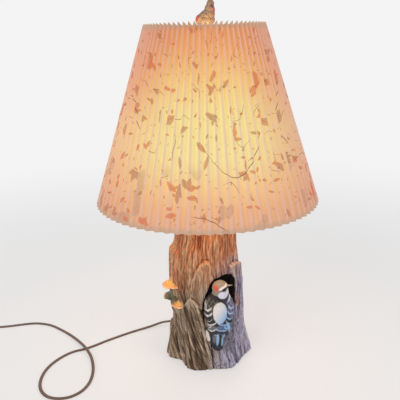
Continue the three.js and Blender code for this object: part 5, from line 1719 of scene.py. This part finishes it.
# Painted shade: the right side of the shade a little greyer pink
right_side = shade_finish.step(side, 0.05, 0.15) * 0.5
turned_away = shade_finish.mix(right_side, turned_away, colour(218, 160, 138))
rusty = shade_finish.step(shade_finish.noise(flat, 24), 0.4, 0.6)
leaf_tone = shade_finish.mix(rusty, colour(222, 110, 66), colour(182, 122, 88))
low_band = 1 - shade_finish.step(up_shade, 0.24, 0.34)
# Painted shade: a paler band at both rims, where less light comes through
unlit_rims = (1 - shade_finish.step(up_shade, 0.006, 0.035)).most(shade_finish.step(up_shade, 0.955, 0.985))
glow = shade_finish.coats(
    facing,
    # painted shade: the left and right sides darker and more orange
    (shade_finish.step(sideways, 0.3, 0.97) * 0.78, turned_away),
    (0.13, colour(240, 132, 70)),
    # painted light and shade on the pleats: paler outer folds, brighter inner folds
    (shade_finish.step(fold, 0.6, 0.86) * 0.55, colour(232, 192, 178)),
    ((1 - shade_finish.step(fold, 0.0, 0.4)) * 0.22, colour(255, 222, 140)),
    ((shade_finish.noise(flat, 60, 4, 0.6) - 0.35) * 0.35, colour(232, 168, 128)),
    (petals * low_band * 0.42, colour(178, 142, 124)),
    (plants * 0.8, leaf_tone),
    (lines * 0.8, colour(132, 78, 52)),
    (unlit_rims * 0.85, colour(204, 170, 144)),
)
black = (0, 0, 0)
shade_finish.feed("Base Color", shade_finish.mix(0.6, glow, black))
shade_finish.feed("Emission Color", shade_finish.mix(0.42, glow, black))
weave = shade_finish.drawn(flat, (2600, 2600, 1), 2, 0.55)
shade_finish.bump(weave * 0.5 + plants * 0.8, 0.0004, 0.5)
painted(shade, shade_finish)
print("shade finish uses", len(shade_finish.tree.nodes), "nodes")

# %% [markdown]
# The finial is cast resin too, painted in a few browns with a red breast and tail. Its marks were
# stored on the points like those of the woodpecker, so the finish only has to lay them on.

# %% Finial finish
resin = Finish("finial_resin", Roughness=0.5)
mottle = resin.noise(resin.place(), 240, 4, 0.6)
on_finial = {name: resin.attribute(name) for name in finial_marks}
tone = resin.coats(
    resin.mix(mottle, colour(122, 98, 78), colour(170, 142, 116)),
    (on_finial["wing"] * 0.6, colour(150, 124, 84)),
    (on_finial["stump"], resin.mix(mottle, colour(150, 112, 74), colour(214, 176, 122))),
    (on_finial["red"] * 0.8, colour(190, 74, 66)),
    (on_finial["beak"] * 0.7, colour(120, 96, 74)),
    (on_finial["eye"] * 0.85, colour(84, 44, 52)),
)
resin.feed("Base Color", tone)
resin.bump(mottle, 0.0008, 0.5)
painted(finial, resin)
print("finial finish uses", len(resin.tree.nodes), "nodes")

# %% [markdown]
# The finishes of the fittings are plain, but each has what such a surface shows close up: drawing
# lines and dulled patches on brass, grain on steel, and a fine moulded texture on plastic. A
# metal's roughness varies more than its colour. Two small recipes make all but the bulb's glass.


# %% Finishes of the fittings
def metal(name, dark, light, rough, lined):
    finish = Finish(name, Metallic=1.0)
    where = finish.place()
    dulled = finish.noise(where, 90, 4, 0.6)
    lines_on = finish.drawn(where, lined, 2, 0.55)
    finish.feed("Base Color", finish.mix(dulled, dark, light))
    finish.feed("Roughness", rough + (dulled - 0.5) * 0.25 + (lines_on - 0.5) * 0.12)
    finish.bump(lines_on, 0.0002, 0.4)
    return finish


def moulded(name, dark, light, rough, scale=900):
    finish = Finish(name, Specular_IOR_Level=0.45)
    where = finish.place()
    texture = finish.noise(where, scale, 3)
    cloud = finish.noise(where, 60)
    finish.feed("Base Color", finish.mix(cloud, dark, light))
    finish.feed("Roughness", rough + (texture - 0.5) * 0.2)
    finish.bump(texture, 0.0002, 0.4)
    return finish


brass = metal("brass", colour(168, 130, 70), colour(214, 178, 108), 0.34, (60, 60, 2400))
steel = metal("zinc_steel", colour(150, 150, 148), colour(196, 196, 192), 0.38, (1400, 1400, 200))
contact = metal("contact_brass", colour(176, 144, 80), colour(222, 190, 122), 0.3, (900, 900, 900))
cap_metal = metal("bulb_cap_metal", colour(160, 158, 150), colour(204, 200, 188), 0.34, (60, 60, 1800))
hot_wire = metal("filament", colour(150, 96, 60), colour(214, 150, 96), 0.5, (3000, 3000, 3000))
black_moulding = moulded("black_moulding", colour(22, 20, 20), colour(42, 38, 36), 0.42)
brown_plastic = moulded("brown_plastic", colour(54, 38, 28), colour(80, 58, 44), 0.42)
card = moulded("fibre_card", colour(96, 78, 58), colour(140, 116, 88), 0.85, 500)
green_felt = moulded("felt", colour(38, 52, 38), colour(64, 80, 60), 0.95, 1300)
cord_plastic = moulded("cord_brown", colour(84, 62, 50), colour(122, 96, 80), 0.5, 1400)
lit_glass = Finish("bulb_glass", Roughness=0.3, Emission_Strength=2.2)
where = lit_glass.place()
side, depth, height = lit_glass.parts(where)
frosted = lit_glass.mix(lit_glass.noise(where, 120), (0.8, 0.72, 0.6), (0.9, 0.85, 0.76))
hot = lit_glass.step(height, 0.335, 0.37)
lit_glass.feed("Base Color", frosted)
lit_glass.feed("Emission Color", lit_glass.mix(hot, (0.5, 0.3, 0.14), (1.0, 0.74, 0.4)))
print("finishes of the fittings ready")

# %% Painting the fittings
# Each finish with its pieces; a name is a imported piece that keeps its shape
FITTINGS = {
    brass: [
        shell, socket_cap, check_plate, *sleeves, stud, bow, *rings, hub, saddle, "finial_insert",
    ],
    steel: [
        "threaded_nipple", "bottom_washer", "bottom_nut", "top_lock_nut", "terminal_screw_neutral",
    ],
    contact: [
        "screw_shell", "centre_contact", "terminal_screw_hot", "plug_blade_1", "plug_blade_2",
    ],
    cap_metal: ["bulb_cap", "bulb_contact"],
    hot_wire: ["bulb_filament"],
    black_moulding: ["switch_body", "switch_shaft", "bulb_insulator", knob],
    brown_plastic: [plug, bushing],
    card: ["socket_liner"],
    lit_glass: [globe, "bulb_stem"],
    green_felt: [felt],
    cord_plastic: [supply_cord, inner_flex, *wires],
}
for finish, pieces in FITTINGS.items():
    for piece in pieces:
        painted(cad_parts[piece] if isinstance(piece, str) else piece, finish)
print("fittings painted:", sum(len(pieces) for pieces in FITTINGS.values()))

# %% [markdown]
# The lamp stands on a pale floor, and an even sky shows as a white backdrop behind it. A large soft
# lamp on the left, a weaker one on the right and one at the back light it at a plain level. Four
# small warm lamps inside the shade stand for the bulb's light on the trunk, the harp and the finial.

# %% Floor
only()
bpy.ops.mesh.primitive_plane_add(size=9)
floor = named("floor")
floor_finish = Finish("floor", Roughness=0.9, Specular_IOR_Level=0.1)
where = floor_finish.place()
tone = floor_finish.mix(floor_finish.noise(where, 3), colour(232, 231, 229), colour(238, 237, 235))
floor_finish.feed("Base Color", tone)
white_light = {"Color": (0.9, 0.9, 0.9, 1), "Strength": 1}
white_floor = floor_finish.node("ShaderNodeEmission", inputs=white_light)
camera_ray = floor_finish.node("ShaderNodeLightPath")
side, depth, height = floor_finish.parts(where)
away = floor_finish.step((side * side + depth * depth).math("SQRT"), 0.5, 1.7)
floor_finish.veil(white_floor, camera_ray * (0.55 + 0.45 * away))
painted(floor, floor_finish)
floor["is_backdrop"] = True
print("floor", floor.name)

# %% Sky
world = bpy.data.worlds.new("sky")
bpy.context.scene.world = world
world.use_nodes = True
links, nodes = world.node_tree.links, world.node_tree.nodes
rays = nodes.new("ShaderNodeLightPath")
either, seen = nodes.new("ShaderNodeMath"), nodes.new("ShaderNodeMath")
either.operation = seen.operation = "MAXIMUM"
links.new(rays.outputs["Is Camera Ray"], either.inputs[0])
links.new(rays.outputs["Is Glossy Ray"], either.inputs[1])
links.new(either.outputs[0], seen.inputs[0])
links.new(rays.outputs["Is Transmission Ray"], seen.inputs[1])
tones = nodes.new("ShaderNodeMix")
tones.data_type = "RGBA"
tones.inputs[6].default_value = (0.5, 0.5, 0.52, 1)
tones.inputs[7].default_value = (0.9, 0.9, 0.9, 1)
links.new(seen.outputs[0], tones.inputs[0])
links.new(tones.outputs[2], nodes["Background"].inputs["Color"])
print("sky", world.name)

# %% Lamps


def lamp(name, kind, place, power, tone, size, aim=None):
    data = bpy.data.lights.new(name, kind)
    data.energy = power
    data.color = tone
    if kind == "AREA":
        data.size = size
    else:
        data.shadow_soft_size = size
    made = bpy.data.objects.new(name, data)
    made.location = place
    if aim:
        made.rotation_mode = "QUATERNION"
        made.rotation_quaternion = (Vector(aim) - Vector(place)).to_track_quat("-Z", "Y")
    bpy.context.scene.collection.objects.link(made)
    return made


lamp("key", "AREA", (-1.2, -1.5, 1.5), 17, (1, 0.98, 0.95), 1.6, (0, 0, 0.25))
lamp("fill", "AREA", (1.6, -1.1, 0.9), 7, (0.93, 0.95, 1), 1.4, (0, 0, 0.25))
lamp("back", "AREA", (0.4, 1.8, 1.5), 9, (1, 1, 1), 1.6, (0, 0, 0.3))
GLOW = (1, 0.62, 0.3)
lamp("glow_front", "POINT", (0, -0.075, 0.34), 0.5, GLOW, 0.03)
lamp("glow_left", "POINT", (-0.075, 0.045, 0.34), 0.3, GLOW, 0.03)
lamp("glow_right", "POINT", (0.075, 0.045, 0.34), 0.3, GLOW, 0.03)
lamp("glow_top", "POINT", (0, -0.035, 0.515), 0.3, (1, 0.72, 0.4), 0.02)

# %% [markdown]
# Last, a table gives each piece the body of the model that it moves with, its finish slot and the
# imported pieces that it stands for. Each piece is hung on its body and those imported pieces are
# hidden; the slot is not used.

# %% Bodies, slots and replaced pieces
ROLES = [
    (trunk, "root", "bark", ["trunk_casting"]),
    (bird, "root", "feathers", ["woodpecker"]),
    (beak, "root", "feathers", []),
    (eye, "root", "feathers", []),
    (caps[0], "root", "fungus_orange", ["fungus_upper"]),
    (caps[1], "root", "fungus_grey", ["fungus_middle"]),
    (caps[2], "root", "fungus_orange", ["fungus_lower"]),
    (felt, "root", "felt", ["base_felt"]),
    (inner_flex, "root", "cord_brown", ["inner_cord"]),
    (wires[0], "root", "cord_brown", ["wire_hot"]),
    (wires[1], "root", "cord_brown", ["wire_neutral"]),
    (supply_cord, "root", "cord_brown", ["cord_lead", "cord_coil"]),
    (plug, "root", "brown_plastic", ["plug_body"]),
    (shade, "shade", "shade_fabric", ["shade_pleats"]),
    (finial, "finial", "finial_resin", ["finial_figure"]),
    (shell, "root", "brass", ["socket_shell"]),
    (socket_cap, "root", "brass", ["socket_cap"]),
    (check_plate, "root", "brass", ["check_ring"]),
    (saddle, "root", "brass", ["harp_saddle"]),
    (bow, "root", "brass", ["harp_bow"]),
    (stud, "root", "brass", ["harp_stud"]),
    (bushing, "root", "brown_plastic", ["cord_bushing"]),
    (sleeves[0], "ferrule_left", "brass", ["harp_ferrule_left"]),
    (sleeves[1], "ferrule_right", "brass", ["harp_ferrule_right"]),
    (rings[0], "shade", "brass", ["shade_top_ring"]),
    (rings[1], "shade", "brass", ["shade_bottom_ring"]),
    (hub, "shade", "brass", ["shade_spider"]),
    (globe, "bulb", "bulb_glass", ["bulb_globe"]),
    (knob, "switch", "black_moulding", ["switch_knob"]),
]
for piece, body, slot, nodes in ROLES:
    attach(piece, body)
    if nodes:
        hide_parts(*nodes)

# %% Bounds of the visual pieces
low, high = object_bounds()
print("visual box", [round(v, 4) for v in (*low, *high)])
